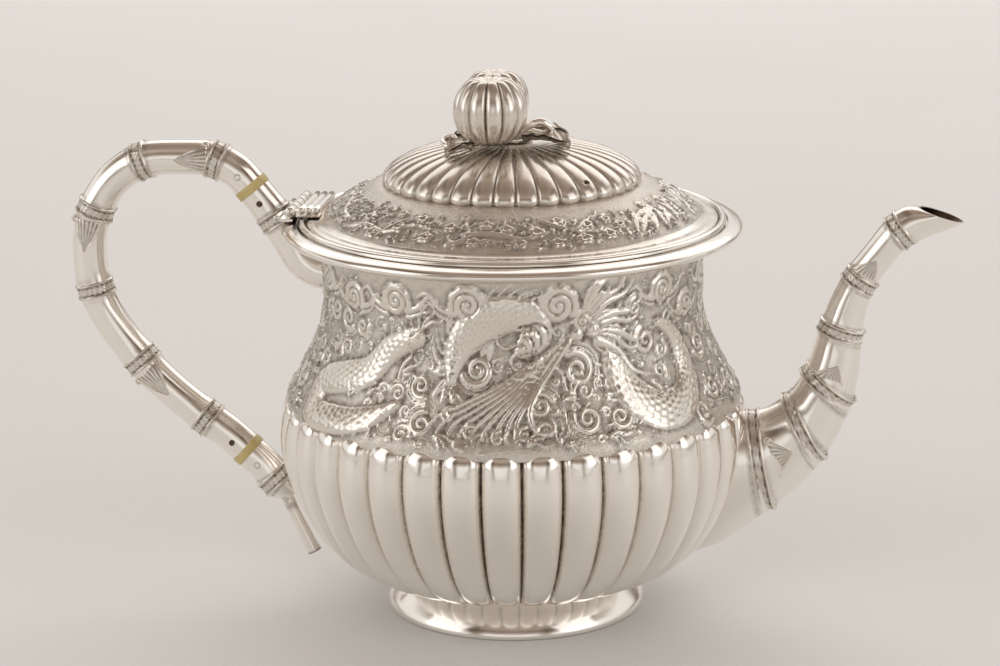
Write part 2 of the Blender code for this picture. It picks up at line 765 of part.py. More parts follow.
def lower_socket_knots():
    """Knots of the short socket between the lower disc and the bowl."""
    _, (lower, way) = grip_ends()
    return [*spigot_knots(lower, -way), handle_point(0.0, -0.17)]


def spigot_bore(centre, way):
    """Straight hole for a spigot, from a disc's face along a direction."""
    radius = HANDLE_TUBE - HANDLE_WALL
    return cylinder(radius, centre, centre + way * (DISC_THICKNESS / 2 + FIT_GAP + SPIGOT_LENGTH + 0.0010),
                    HANDLE_SIDES)


def cross_pin(centre, way, side, radius, length):
    """Cylinder along Y on one side of a disc, for a pin or its hole."""
    place = centre + way * (side * CROSS_PIN_PLACE)
    half = Vector((0, length / 2, 0))
    return cylinder(radius, place - half, place + half, 8)


def make_insulator(name, centre, way):
    """Disc with a spigot on each side, drilled for the two cross pins."""
    half = DISC_THICKNESS / 2
    end = half + SPIGOT_LENGTH
    outline = [(0.0, end), (SPIGOT_RADIUS, end), (SPIGOT_RADIUS, half), (DISC_RADIUS, half),
               (DISC_RADIUS, -half), (SPIGOT_RADIUS, -half), (SPIGOT_RADIUS, -end), (0.0, -end)]
    mesh = placed(turned(outline, 16, closed=False), frame_at(centre, way))
    holes = [cross_pin(centre, way, side, CROSS_PIN_RADIUS + FIT_GAP, 4 * HANDLE_TUBE)
             for side in (1, -1)]
    return part(name, cut(mesh, *holes), IVORY)


def make_grip():
    """Hollow bamboo grip between the discs."""
    knots = grip_knots()
    points = smooth_path(knots, 3)
    outer = tube(points, HANDLE_TUBE, HANDLE_SIDES)
    overrun = 0.002
    inner_points = [points[0] + (points[0] - points[1]).normalized() * overrun, *points,
                    points[-1] + (points[-1] - points[-2]).normalized() * overrun]
    inner = tube(inner_points, HANDLE_TUBE - HANDLE_WALL, HANDLE_SIDES)
    holes = [cross_pin(centre, way, 1, CROSS_PIN_RADIUS + FIT_GAP, 4 * HANDLE_TUBE)
             for centre, way in grip_ends()]
    return part("handle_grip", cut(outer, inner, *holes), SILVER)


def make_socket(name, knots, end, envelope):
    """A socket tube, bored for the spigot and coped to the body."""
    centre, way = end
    mesh = tube(smooth_path(knots, 3), HANDLE_TUBE, HANDLE_SIDES)
    hole = cross_pin(centre, way, -1, CROSS_PIN_RADIUS + FIT_GAP, 4 * HANDLE_TUBE)
    return part(name, cut(mesh, spigot_bore(centre, -way), hole, envelope), SILVER)


def node_ring(centre, way):
    """Mesh of a raised band round the handle at a bamboo node."""
    inner = HANDLE_TUBE + NODE_RING_CLEARANCE
    half = NODE_RING_WIDTH / 2
    outline = [(inner, half), (NODE_RING_RADIUS, 0.6 * half), (NODE_RING_RADIUS, -0.6 * half), (inner, -half)]
    return placed(turned(outline, 14), frame_at(centre, way))


def path_place(points, near):
    """Index and direction of the path point nearest to a place."""
    index = min(range(1, len(points) - 1), key=lambda i: (points[i] - near).length)
    return points[index], (points[index + 1] - points[index - 1]).normalized()


def make_handle_rings(envelope):
    """A band at each of the eight nodes, eased where the grip bends inside it."""
    grip = smooth_path(grip_knots(), 6)
    upper = smooth_path(upper_socket_knots(), 6)
    lower = smooth_path(lower_socket_knots(), 6)
    places = [path_place(upper, Vector((-(RIM_RADIUS + 0.0030), 0, RIM_HEIGHT + 0.0022)))]
    places += [path_place(grip, handle_point(*node)) for node in GRIP_NODES]
    places.append(path_place(lower, handle_point(0.065, -0.105)))
    room = tube(smooth_path(grip_knots(), 3), HANDLE_TUBE + FIT_GAP, HANDLE_SIDES)
    rings = [cut(node_ring(centre, way), room.copy()) for centre, way in places]
    rings[0] = cut(rings[0], envelope.copy())
    rings[-1] = cut(rings[-1], envelope)
    for number, ring in enumerate(rings, start=1):
        part(f"handle_node_ring_{number}", ring, CHASED)


def make_twig(envelope):
    """Slim stem that grows from the lower socket and hangs beside the bowl."""
    start = handle_point(0.003, -0.158)
    knots = [start, start + Vector((0.0020, 0, -0.0055)), start + Vector((0.0048, 0, -0.0122)),
             start + Vector((0.0082, 0, -0.0188))]
    points = smooth_path(knots, 3)
    taper = [1.5 - 0.5 * i / (len(points) - 1) for i in range(len(points))]
    socket = tube(smooth_path(lower_socket_knots(), 3), HANDLE_TUBE + FIT_GAP, HANDLE_SIDES)
    return part("handle_twig", cut(tube(points, TWIG_RADIUS, 10, taper), envelope, socket), SILVER)


def make_handle():
    """Sockets, insulators, pins, grip, bands and the twig below."""
    upper_end, lower_end = grip_ends()
    make_socket("handle_upper_socket", upper_socket_knots(), upper_end, body_envelope(FIT_GAP))
    make_socket("handle_lower_socket", lower_socket_knots(), lower_end, body_envelope(FIT_GAP))
    make_insulator("insulator_upper", *upper_end)
    make_insulator("insulator_lower", *lower_end)
    make_grip()
    make_handle_rings(body_envelope(FIT_GAP))
    make_twig(body_envelope(FIT_GAP))
    length = 2 * HANDLE_TUBE - 0.0002
    number = 1
    for centre, way in (upper_end, lower_end):
        for side in (1, -1):
            pin = cross_pin(centre, way, side, CROSS_PIN_RADIUS, length)
            part(f"insulator_pin_{number}", pin, SILVER)
            number += 1


# ---------------------------------------------------------------- spout


def spout_frame(index):
    """Matrix, half height and half width of a spout station."""
    out, height, angle, half_height, half_width = SPOUT_STATIONS[index]
    centre = Vector((BOWL_RADIUS + out, 0.0, height))
    return frame_at(centre, direction(math.radians(angle))), half_height, half_width


def loft(sections):
    """Open tube through rings of points that run the same way."""
    work = bmesh.new()
    rings = [[work.verts.new(point) for point in section] for section in sections]
    for ring, following in zip(rings, rings[1:]):
        for index in range(len(ring)):
            after = (index + 1) % len(ring)
            work.faces.new((ring[index], ring[after], following[after], following[index]))
    mesh = bpy.data.meshes.new("loft")
    work.to_mesh(mesh)
    work.free()
    return mesh


def spout_section(index, grow=0.0):
    """Points round a spout station, moved outwards by a distance."""
    matrix, half_height, half_width = spout_frame(index)
    points = []
    for step in range(SPOUT_SIDES):
        angle = math.tau * step / SPOUT_SIDES
        local = Vector(((half_height + grow) * math.cos(angle), (half_width + grow) * math.sin(angle), 0.0))
        points.append(matrix @ local)
    return points


def capped(mesh):
    """An open tube closed at both ends."""
    work = bmesh.new()
    work.from_mesh(mesh)
    bmesh.ops.holes_fill(work, edges=[edge for edge in work.edges if edge.is_boundary], sides=0)
    work.to_mesh(mesh)
    work.free()
    return tidy(mesh)


def make_spout():
    """Hollow tapering spout, coped to the bowl and cut to a beak."""
    stations = range(len(SPOUT_STATIONS))
    outer = capped(loft([spout_section(index) for index in stations]))
    bore_sections = [spout_section(index, -SPOUT_WALL) for index in stations]
    first_way = direction(math.radians(SPOUT_STATIONS[0][2]))
    last_way = direction(math.radians(SPOUT_STATIONS[-1][2]) - BEAK_CUT)
    bore_sections[0] = [point - first_way * 0.002 for point in bore_sections[0]]
    bore_sections[-1] = [point + last_way * 0.0015 for point in bore_sections[-1]]
    bore = capped(loft(bore_sections))
    part("spout_tube", cut(outer, bore, body_envelope(FIT_GAP)), SILVER)
    for number, index in enumerate(SPOUT_RING_STATIONS, start=1):
        make_spout_ring(f"spout_node_ring_{number}", index)


def make_spout_ring(name, index):
    """Raised band round the spout at a bamboo node."""
    matrix, half_height, half_width = spout_frame(index)
    half = SPOUT_RING_WIDTH / 2
    inner = half_width - SPOUT_WALL / 2
    outer = half_width + SPOUT_RING_RISE
    outline = [(inner, half), (outer, 0.6 * half), (outer, -0.6 * half), (inner, -half)]
    stretch = (half_height + SPOUT_RING_RISE) / outer
    mesh = placed(turned(outline, SPOUT_SIDES), Matrix.Diagonal((stretch, 1.0, 1.0, 1.0)))
    tube_room = capped(loft([spout_section(station, FIT_GAP) for station in (index - 1, index, index + 1)]))
    part(name, cut(placed(mesh, matrix), tube_room), CHASED)


# ---------------------------------------------------------------- bamboo leaf scars


def leaf_scar(name, matrix, half_across, curve_radius):
    """Small triangular plate with a bud at each foot, bent round a tube."""
    work = bmesh.new()
    bmesh.ops.create_grid(work, x_segments=2, y_segments=4, size=1.0)
    for vertex in work.verts:
        along = vertex.co.x * SCAR_LENGTH
        narrowing = 0.62 - 0.38 * vertex.co.x
        arc = vertex.co.y * half_across * narrowing / curve_radius
        vertex.co = Vector((curve_radius * math.sin(arc), -curve_radius * math.cos(arc), along))
    mesh = bpy.data.meshes.new("scar")
    work.to_mesh(mesh)
    work.free()
    shell = solidified(facing_away(mesh), SCAR_THICKNESS)
    return part(name, placed(shell, matrix), CHASED)


def facing_away(mesh):
    """A bent plate with its faces turned away from the axis it is bent round."""
    work = bmesh.new()
    work.from_mesh(mesh)
    if sum(face.normal.dot(Vector((face.calc_center_median().x, face.calc_center_median().y, 0)))
           for face in work.faces) < 0:
        bmesh.ops.reverse_faces(work, faces=work.faces)
    work.to_mesh(mesh)
    work.free()
    return mesh


def make_leaf_scars():
    """A leaf scar beside three nodes of the spout and three of the handle."""
    plate_room = SCAR_THICKNESS + 3 * FIT_GAP
    for number, index in enumerate((2, 5, 9), start=1):
        matrix, half_height, half_width = spout_frame(index)
        bend = half_width + plate_room + 0.0004
        leaf_scar(f"spout_leaf_{number}", matrix, 0.5 * half_height, bend)
    grip = smooth_path(grip_knots(), 8)
    for number, (first, share) in enumerate(((0, 0.5), (2, 0.5), (4, 0.35)), start=1):
        start, end = handle_point(*GRIP_NODES[first]), handle_point(*GRIP_NODES[first + 1])
        centre, way = path_place(grip, start.lerp(end, share))
        bend = HANDLE_TUBE + plate_room + 0.0003
        leaf_scar(f"handle_leaf_{number}", frame_at(centre, way), 0.73 * HANDLE_TUBE, bend)


def main():
    """Build every piece of the teapot."""
    make_bowl()
    make_neck()
    make_foot()
    make_lid_cover()
    make_bead()
    make_bezel()
    make_dome()
    make_finial()
    stem = smooth_path(upper_socket_knots(), 3)
    stem_room = tube(stem, NODE_RING_RADIUS + FIT_GAP, HANDLE_SIDES)
    make_rim(stem_room.copy())
    make_hinge(stem_room)
    make_handle()
    make_spout()
    make_leaf_scars()


clear_scene()
PARTS = new_collection("silver_teapot")
CUTTERS = new_collection("cutters")
main()
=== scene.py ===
"""Silver teapot with a chased neck, a gadrooned bowl and a bamboo handle and spout, dressed for the studio.

Sizes are in millimetres until a mesh is written. The pot's axis is Z, the spout points to +X, and the
camera looks from -Y. Each sub-assembly is a class: it models its pieces, gives them a finish and says
which body they move with and which plain solids they stand for.
"""

import logging
import math
from dataclasses import dataclass, field
from enum import Enum
from typing import Any, Callable, Optional, Sequence

import bpy
import numpy as np
from mathutils import Matrix, Vector


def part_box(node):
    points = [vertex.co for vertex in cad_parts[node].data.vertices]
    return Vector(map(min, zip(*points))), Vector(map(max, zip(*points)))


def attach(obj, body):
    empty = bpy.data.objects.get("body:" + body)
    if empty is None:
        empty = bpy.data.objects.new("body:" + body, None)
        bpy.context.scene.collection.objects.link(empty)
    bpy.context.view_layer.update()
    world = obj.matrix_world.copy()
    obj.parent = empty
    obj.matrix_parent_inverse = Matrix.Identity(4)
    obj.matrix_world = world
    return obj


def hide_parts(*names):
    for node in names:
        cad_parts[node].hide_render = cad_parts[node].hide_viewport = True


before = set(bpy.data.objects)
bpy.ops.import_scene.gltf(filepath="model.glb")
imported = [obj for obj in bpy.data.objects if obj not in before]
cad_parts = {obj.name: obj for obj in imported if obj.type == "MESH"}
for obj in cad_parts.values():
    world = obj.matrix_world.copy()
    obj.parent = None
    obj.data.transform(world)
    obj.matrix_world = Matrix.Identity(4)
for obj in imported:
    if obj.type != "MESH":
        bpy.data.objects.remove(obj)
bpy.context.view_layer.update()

LOG = logging.getLogger("teapot")
MM = 0.001
Point = tuple[float, float]
Shape = tuple[np.ndarray, dict[str, np.ndarray]]
Place = Callable[[np.ndarray, np.ndarray], Shape]
Region = tuple[slice, slice]
Window = tuple[Region, np.ndarray, np.ndarray]
Stops = Sequence[tuple[float, str]]


class Body(Enum):
    """The two bodies that the pieces ride on."""

    POT = "pot"
    LID = "lid"


# ---------------------------------------------------------------- finishes


def linear(code: str) -> tuple[float, float, float, float]:
    """Turn an sRGB hex colour into linear light.

    Args:
        code: Six hex digits after a hash.

    Returns:
        Red, green, blue and full alpha.
    """
    parts = [int(code[i : i + 2], 16) / 255 for i in (1, 3, 5)]
    red, green, blue = (c / 12.92 if c <= 0.04045 else ((c + 0.055) / 1.055) ** 2.4 for c in parts)
    return red, green, blue, 1.0


def add_node(tree: bpy.types.NodeTree, kind: str, inputs: Optional[dict[Any, Any]] = None,
             **settings: Any) -> Any:
    """Add a node with its settings, values and links.

    Args:
        tree: Node tree to add to.
        kind: Node type name.
        inputs: Value or source socket for each input, by name or number.
        settings: Attributes of the node.

    Returns:
        The new node.
    """
    node = tree.nodes.new(kind)
    for key, value in settings.items():
        setattr(node, key, value)
    for key, value in (inputs or {}).items():
        if isinstance(value, bpy.types.NodeSocket):
            tree.links.new(value, node.inputs[key])
        else:
            node.inputs[key].default_value = value
    return node


def graded(tree: bpy.types.NodeTree, source: bpy.types.NodeSocket, stops: Stops) -> Any:
    """Grade a value into colours.

    Args:
        tree: Node tree to add to.
        source: Socket that gives the value.
        stops: Positions from 0 to 1, each with its colour as sRGB hex.

    Returns:
        The ramp node.
    """
    ramp = add_node(tree, "ShaderNodeValToRGB", {0: source})
    elements = ramp.color_ramp.elements
    for element, (position, code) in ((elements[0], stops[0]), (elements[1], stops[-1])):
        element.position, element.color = position, linear(code)
    for position, code in stops[1:-1]:
        elements.new(position).color = linear(code)
    return ramp


def new_material(name: str) -> tuple[bpy.types.Material, bpy.types.NodeTree, Any]:
    """Make an empty material.

    Args:
        name: Name of the finish.

    Returns:
        The material, its node tree and its Principled shader.
    """
    made = bpy.data.materials.new(name)
    made.use_nodes = True
    tree = made.node_tree
    return made, tree, tree.nodes["Principled BSDF"]


@dataclass(frozen=True)
class Silver:
    """Sterling silver, an alloy with copper that takes a mirror polish and tarnishes brown in the hollows.

    The haze is the soft unevenness of hand polishing, a few millimetres across, and the scratches are
    wiping marks. The brown tint follows each mesh's own "patina_and_shade" attribute, and the matting
    follows "ground". That attribute holds brown oxide in the hollows, and on a few pieces painted shade:
    the undersides of the hinge bars, the vent, the spout's bore and the ends of the sunk pins.
    """

    name: str
    slot: str
    colour: str = "#F9F4EE"
    # Brown of the oxide, also used as the colour of painted shade.
    tarnish_and_shade: str = "#5F4F42"
    polished: float = 0.13
    hazed: float = 0.21
    haze_mm: float = 5.0
    scratch_mm: float = 0.35
    stain_mm: float = 1.6
    matting_mm: float = 0.62
    matting_depth_mm: float = 0.16

    def build(self) -> bpy.types.Material:
        """Make the material with its haze, scratches, matting and patina.

        Returns:
            The material.
        """
        made, tree, shader = new_material(self.name)
        place = add_node(tree, "ShaderNodeTexCoord").outputs["Object"]
        patina_and_shade = add_node(tree, "ShaderNodeAttribute", attribute_name="patina_and_shade").outputs["Fac"]
        ground = add_node(tree, "ShaderNodeAttribute", attribute_name="ground").outputs["Fac"]
        haze = add_node(tree, "ShaderNodeTexNoise", {"Vector": place, "Scale": 1 / (self.haze_mm * MM),
                                                     "Detail": 3.0})
        stain = add_node(tree, "ShaderNodeTexNoise", {"Vector": place,
                                                      "Scale": 1 / (self.stain_mm * MM), "Detail": 2.0})
        cloud = add_node(tree, "ShaderNodeMapRange", {0: haze.outputs["Fac"], 1: 0.38, 2: 0.66,
                                                      3: self.polished, 4: self.hazed})
        # The brown tint is oxide in the hollows, and painted shade wherever a piece's patina_and_shade marks
        # undersides and holes.
        soiled = add_node(tree, "ShaderNodeMath", {0: patina_and_shade, 1: stain.outputs["Fac"]}, operation="MULTIPLY")
        depth = add_node(tree, "ShaderNodeMath", {0: soiled.outputs[0], 1: 1.7}, operation="MULTIPLY",
                         use_clamp=True)
        dull = add_node(tree, "ShaderNodeMath", {0: depth.outputs[0], 1: 0.30, 2: cloud.outputs[0]},
                        operation="MULTIPLY_ADD")
        matt = add_node(tree, "ShaderNodeMath", {0: ground, 1: 0.16, 2: dull.outputs[0]},
                        operation="MULTIPLY_ADD")
        tint = add_node(tree, "ShaderNodeMix", {"Factor": depth.outputs[0], "A": linear(self.colour),
                                                "B": linear(self.tarnish_and_shade)}, data_type="RGBA")
        marks = add_node(tree, "ShaderNodeTexNoise", {"Vector": place, "Scale": 1 / (self.scratch_mm * MM),
                                                      "Detail": 4.0, "Roughness": 0.7})
        cells = add_node(tree, "ShaderNodeTexVoronoi", {"Vector": place,
                                                        "Scale": 1 / (self.matting_mm * MM)})
        dimples = add_node(tree, "ShaderNodeMath", {0: cells.outputs["Distance"], 1: ground},
                           operation="MULTIPLY")
        wiped = add_node(tree, "ShaderNodeBump", {"Strength": 0.05, "Distance": 0.02 * MM,
                                                  "Height": marks.outputs["Fac"]})
        beaten = add_node(tree, "ShaderNodeBump", {"Strength": 0.8,
                                                   "Distance": self.matting_depth_mm * MM,
                                                   "Height": dimples.outputs[0],
                                                   "Normal": wiped.outputs["Normal"]})
        shader.inputs["Metallic"].default_value = 1.0
        tree.links.new(tint.outputs["Result"], shader.inputs["Base Color"])
        tree.links.new(matt.outputs[0], shader.inputs["Roughness"])
        tree.links.new(beaten.outputs["Normal"], shader.inputs["Normal"])
        return made


@dataclass(frozen=True)
class Ivory:
    """Old ivory, turned and polished: cream that has yellowed, with fine darker pores along the grain."""

    name: str = "turned_ivory"
    slot: str = "ivory"
    pale: str = "#D9CC98"
    deep: str = "#B59A56"
    pore_mm: float = 0.5

    def build(self) -> bpy.types.Material:
        """Make the material with its yellowing and pores.

        Returns:
            The material.
        """
        made, tree, shader = new_material(self.name)
        place = add_node(tree, "ShaderNodeTexCoord").outputs["Object"]
        age = add_node(tree, "ShaderNodeTexNoise", {"Vector": place, "Scale": 1 / (2.5 * MM), "Detail": 4.0})
        pores = add_node(tree, "ShaderNodeTexNoise", {"Vector": place, "Scale": 1 / (self.pore_mm * MM)})
        tint = add_node(tree, "ShaderNodeMix", {"Factor": age.outputs["Fac"], "A": linear(self.pale),
                                                "B": linear(self.deep)}, data_type="RGBA")
        skin = add_node(tree, "ShaderNodeBump", {"Strength": 0.3, "Distance": 0.05 * MM,
                                                 "Height": pores.outputs["Fac"]})
        shader.inputs["IOR"].default_value = 1.54
        shader.inputs["Roughness"].default_value = 0.36
        shader.inputs["Subsurface Weight"].default_value = 0.1
        shader.inputs["Subsurface Scale"].default_value = 1 * MM
        tree.links.new(tint.outputs["Result"], shader.inputs["Base Color"])
        tree.links.new(skin.outputs["Normal"], shader.inputs["Normal"])
        return made


@dataclass(frozen=True)
class PaintedBoard:
    """Pale matt paint rolled on a board, with a faint warm unevenness."""

    name: str = "painted_board"
    pale: str = "#E8E8E7"
    warm: str = "#E3E3E1"

    def build(self) -> bpy.types.Material:
        """Make the material of the studio's floor.

        Returns:
            The material.
        """
        made, tree, shader = new_material(self.name)
        place = add_node(tree, "ShaderNodeTexCoord").outputs["Object"]
        drift = add_node(tree, "ShaderNodeTexNoise", {"Vector": place, "Scale": 2.5, "Detail": 2.0})
        tint = add_node(tree, "ShaderNodeMix", {"Factor": drift.outputs["Fac"], "A": linear(self.pale),
                                                "B": linear(self.warm)}, data_type="RGBA")
        shader.inputs["Roughness"].default_value = 0.62
        tree.links.new(tint.outputs["Result"], shader.inputs["Base Color"])
        return made


@dataclass
class Finishes:
    """The finishes of the pot, each made once."""

    polished: Silver = Silver("polished_sterling", "polished_silver")
    # The chased and buffed copies take a dimmer colour than the polished silver: painted shade for the
    # duller look of matted and buffed metal, on top of their real roughness.
    chased: Silver = Silver("chased_sterling_shaded", "chased_silver", colour="#EAE4DC", polished=0.20, hazed=0.30)
    satin: Silver = Silver("buffed_sterling_shaded", "polished_silver", colour="#E8E1D9", polished=0.22, hazed=0.31)
    ivory: Ivory = Ivory()
    made: dict[str, bpy.types.Material] = field(default_factory=dict)

    def apply(self, obj: bpy.types.Object, finish: Any) -> None:
        """Give an object one finish.

        Args:
            obj: Mesh object to dress.
            finish: One of this set's finishes.
        """
        if finish.name not in self.made:
            self.made[finish.name] = finish.build()
        obj.data.materials.clear()
        obj.data.materials.append(self.made[finish.name])


FINISHES = Finishes()


# ---------------------------------------------------------------- modelling moves


def deselect() -> None:
    """Leave edit mode and select nothing."""
    if bpy.context.mode != "OBJECT":
        bpy.ops.object.mode_set(mode="OBJECT")
    bpy.ops.object.select_all(action="DESELECT")


def finished(obj: bpy.types.Object, name: str, angle: float = 40.0) -> bpy.types.Object:
    """Close seams and poles, face the shell outwards, put its place in its mesh and shade it smooth.

    Args:
        obj: Active mesh object.
        name: Name of the piece.
        angle: Edges sharper than this many degrees stay sharp.

    Returns:
        The same object.
    """
    bpy.ops.object.mode_set(mode="EDIT")
    bpy.ops.mesh.select_all(action="SELECT")
    bpy.ops.mesh.remove_doubles(threshold=1e-6)
    bpy.ops.mesh.normals_make_consistent(inside=False)
    bpy.ops.object.mode_set(mode="OBJECT")
    bpy.ops.object.transform_apply(location=True, rotation=True, scale=True)
    bpy.ops.object.shade_smooth_by_angle(angle=math.radians(angle))
    obj.name = name
    obj.data.name = name
    return obj


def turned(name: str, outline: Sequence[Point], steps: int = 192, angle: float = 40.0) -> bpy.types.Object:
    """Turn an outline about the pot's axis, as on a lathe.

    Args:
        name: Name of the piece.
        outline: Closed outline of (radius, height).
        steps: Steps round the axis.
        angle: Smoothing angle in degrees.

    Returns:
        The turned piece.
    """
    deselect()
    radius, height = outline[0]
    bpy.ops.mesh.primitive_plane_add(size=MM, location=(radius * MM, 0.0, height * MM))
    obj = bpy.context.object
    bpy.ops.object.mode_set(mode="EDIT")
    bpy.ops.mesh.select_all(action="SELECT")
    bpy.ops.mesh.merge(type="CENTER")
    for before, after in zip(outline, [*outline[1:], outline[0]]):
        step = ((after[0] - before[0]) * MM, 0.0, (after[1] - before[1]) * MM)
        bpy.ops.mesh.extrude_region_move(TRANSFORM_OT_translate={"value": step})
    bpy.ops.mesh.select_all(action="SELECT")
    bpy.ops.mesh.spin(steps=steps, angle=math.tau, center=(0.0, 0.0, 0.0), axis=(0.0, 0.0, 1.0))
    return finished(obj, name, angle)


def rolled(name: str, columns: int, rows: int, place: Place, angle: float = 60.0) -> bpy.types.Object:
    """Roll a finely divided sheet into a shape that turning and extruding can't give.

    Args:
        name: Name of the piece.
        columns: Faces along the first direction.
        rows: Faces along the second direction.
        place: Gives the points in millimetres, and values per point, for two sets of whole numbers.
        angle: Smoothing angle in degrees.

    Returns:
        The shaped piece, with each set of values as an attribute.
    """
    deselect()
    bpy.ops.mesh.primitive_grid_add(x_subdivisions=columns, y_subdivisions=rows, size=1.0)
    obj = bpy.context.object
    mesh = obj.data
    sheet = np.empty(len(mesh.vertices) * 3)
    mesh.vertices.foreach_get("co", sheet)
    sheet = sheet.reshape(-1, 3) + 0.5
    column = np.rint(sheet[:, 0] * columns).astype(int)
    row = np.rint(sheet[:, 1] * rows).astype(int)
    points, marks = place(column, row)
    mesh.vertices.foreach_set("co", (points * MM).ravel())
    for key, values in marks.items():
        mark = mesh.attributes.new(key, "FLOAT", "POINT")
        mark.data.foreach_set("value", values.astype(np.float32))
    return finished(obj, name, angle)


def smooth(knots: Sequence[Sequence[float]], per_span: int, measured: int = 3) -> np.ndarray:
    """Points on a smooth curve through knots of any dimension.

    Args:
        knots: Knots to pass through.
        per_span: Points in each span.
        measured: How many of the first coordinates give the distance between knots.

    Returns:
        One row per point, the last knot included.
    """
    rows = np.asarray(knots, float)
    spans = np.linalg.norm(np.diff(rows[:, :measured], axis=0), axis=1)[:, None]
    rates = np.diff(rows, axis=0) / spans
    middle = (rates[:-1] * spans[1:] + rates[1:] * spans[:-1]) / (spans[:-1] + spans[1:])
    leans = np.vstack([1.5 * rates[:1] - 0.5 * middle[:1], middle, 1.5 * rates[-1:] - 0.5 * middle[-1:]])
    share = np.arange(per_span)[:, None] / per_span
    blend = 3 * share**2 - 2 * share**3
    found = []
    for start, end, span, out, into in zip(rows, rows[1:], spans, leans, leans[1:]):
        bow = share * (1 - share) ** 2 * out - share**2 * (1 - share) * into
        found.append(start * (1 - blend) + end * blend + span * bow)
    return np.vstack([*found, rows[-1:]])


def spread(outline: Sequence[Point], step: float) -> np.ndarray:
    """Points at even steps along an outline.

    Args:
        outline: Points of (radius, height).
        step: Distance between points.

    Returns:
        One row per point, both ends included.
    """
    line = np.asarray(outline, float)
    run = np.concatenate([[0.0], np.cumsum(np.hypot(*np.diff(line, axis=0).T))])
    at = np.linspace(0, run[-1], max(2, round(run[-1] / step) + 1))
    return np.column_stack([np.interp(at, run, line[:, 0]), np.interp(at, run, line[:, 1])])


def leaning(tilt: float) -> np.ndarray:
    """Direction in the XZ plane.

    Args:
        tilt: Degrees from +X towards +Z.

    Returns:
        A unit vector.
    """
    angle = math.radians(tilt)
    return np.array([math.cos(angle), 0.0, math.sin(angle)])


def about_axis(radius: np.ndarray, angle: np.ndarray, height: np.ndarray) -> np.ndarray:
    """Points about the pot's axis.

    Args:
        radius: Distance of each from the axis.
        angle: Angle of each in radians.
        height: Height of each.

    Returns:
        One row per point.
    """
    return np.column_stack([radius * np.cos(angle), radius * np.sin(angle), height])


def swept(name: str, path: np.ndarray, radii: np.ndarray, columns: int = 48,
          marks: Optional[dict[str, np.ndarray]] = None, rounded: float = 0.0) -> bpy.types.Object:
    """Draw a bar along a path and close its ends.

    Args:
        name: Name of the piece.
        path: Points in space, in order.
        radii: Radius at each point.
        columns: Faces round the bar.
        marks: Values at each point of the path.
        rounded: Share of a half ball on each end, 0 for a flat end.

    Returns:
        The bar.
    """
    way = np.gradient(path, axis=0)
    way /= np.linalg.norm(way, axis=1)[:, None]
    side = np.array([0.0, 1.0, 0.0]) + 0.0 * way
    side -= way * (side * way).sum(axis=1)[:, None]
    side /= np.linalg.norm(side, axis=1)[:, None]
    across = np.cross(side, way)
    turn = np.linspace(0, math.pi / 2, 7)
    head = path[0] - way[0] * (rounded * radii[0] * np.cos(turn))[:, None]
    tail = path[-1] + way[-1] * (rounded * radii[-1] * np.cos(turn[::-1]))[:, None]
    centre = np.vstack([head, path, tail])
    size = np.concatenate([radii[0] * np.sin(turn), radii, radii[-1] * np.sin(turn[::-1])])
    index = np.concatenate([np.zeros(7, int), np.arange(len(path)), np.full(7, len(path) - 1)])
    around = np.arange(columns + 1) * math.tau / columns
    around[-1] = 0.0

    def place(column: np.ndarray, row: np.ndarray) -> Shape:
        """Points of the bar for a column round it and a row along it.

        Args:
            column: Whole numbers along the sheet's first direction.
            row: Whole numbers along its second direction.

        Returns:
            Points in millimetres, and values for each point.
        """
        at = index[row]
        cosine = (size[row] * np.cos(around[column]))[:, None]
        sine = (size[row] * np.sin(around[column]))[:, None]
        values = {key: value[at] for key, value in (marks or {}).items()}
        return centre[row] + across[at] * cosine + side[at] * sine, values

    return rolled(name, columns, len(centre) - 1, place)


def block(name: str, low: Sequence[float], high: Sequence[float], bevel: float) -> bpy.types.Object:
    """Saw a block to size and round its edges.

    Args:
        name: Name of the piece.
        low: Lowest corner.
        high: Highest corner.
        bevel: Radius of the edges.

    Returns:
        The block.
    """
    deselect()
    middle = [(a + b) / 2 * MM for a, b in zip(low, high)]
    bpy.ops.mesh.primitive_cube_add(size=1.0, location=middle)
    obj = bpy.context.object
    bpy.ops.object.mode_set(mode="EDIT")
    bpy.ops.mesh.select_all(action="SELECT")
    bpy.ops.transform.resize(value=[(b - a) * MM for a, b in zip(low, high)])
    bpy.ops.mesh.bevel(offset=bevel * MM, segments=3, affect="EDGES")
    bpy.ops.object.mode_set(mode="OBJECT")
    return finished(obj, name)


def joined(name: str, pieces: Sequence[bpy.types.Object]) -> bpy.types.Object:
    """Solder finished shells into one piece.

    Args:
        name: Name of the piece.
        pieces: Mesh objects, each at the origin.

    Returns:
        One object with all their meshes.
    """
    deselect()
    for piece in pieces:
        piece.select_set(True)
    bpy.context.view_layer.objects.active = pieces[0]
    bpy.ops.object.join()
    pieces[0].name = name
    pieces[0].data.name = name
    return pieces[0]


def dress(obj: bpy.types.Object, finish: Any, body: Body, *nodes: str) -> None:
    """Give a piece its finish and body, and the plain solids it stands for.

    Args:
        obj: The finished piece.
        finish: Its finish.
        body: The body it rides on.
        nodes: Solids that it replaces.
    """
    FINISHES.apply(obj, finish)
    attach(obj, body.value)
    if nodes:
        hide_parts(*nodes)
    LOG.info("%s: %d faces", obj.name, len(obj.data.polygons))


# ---------------------------------------------------------------- chasing


def spiral(centre: Point, start: float, end: float, first: float, turns: float) -> np.ndarray:
    """Points on a spiral.

    Args:
        centre: Its middle.
        start: Radius at the outer end.
        end: Radius at the inner end.
        first: Direction of the outer end in degrees.
        turns: Turns it makes, negative for clockwise.

    Returns:
        One row per point.
    """
    share = np.linspace(0, 1, max(8, round(abs(turns) * 20)))
    angle = math.radians(first) + math.tau * turns * share
    radius = start + (end - start) * share**0.8
    return np.column_stack([centre[0] + radius * np.cos(angle), centre[1] + radius * np.sin(angle)])


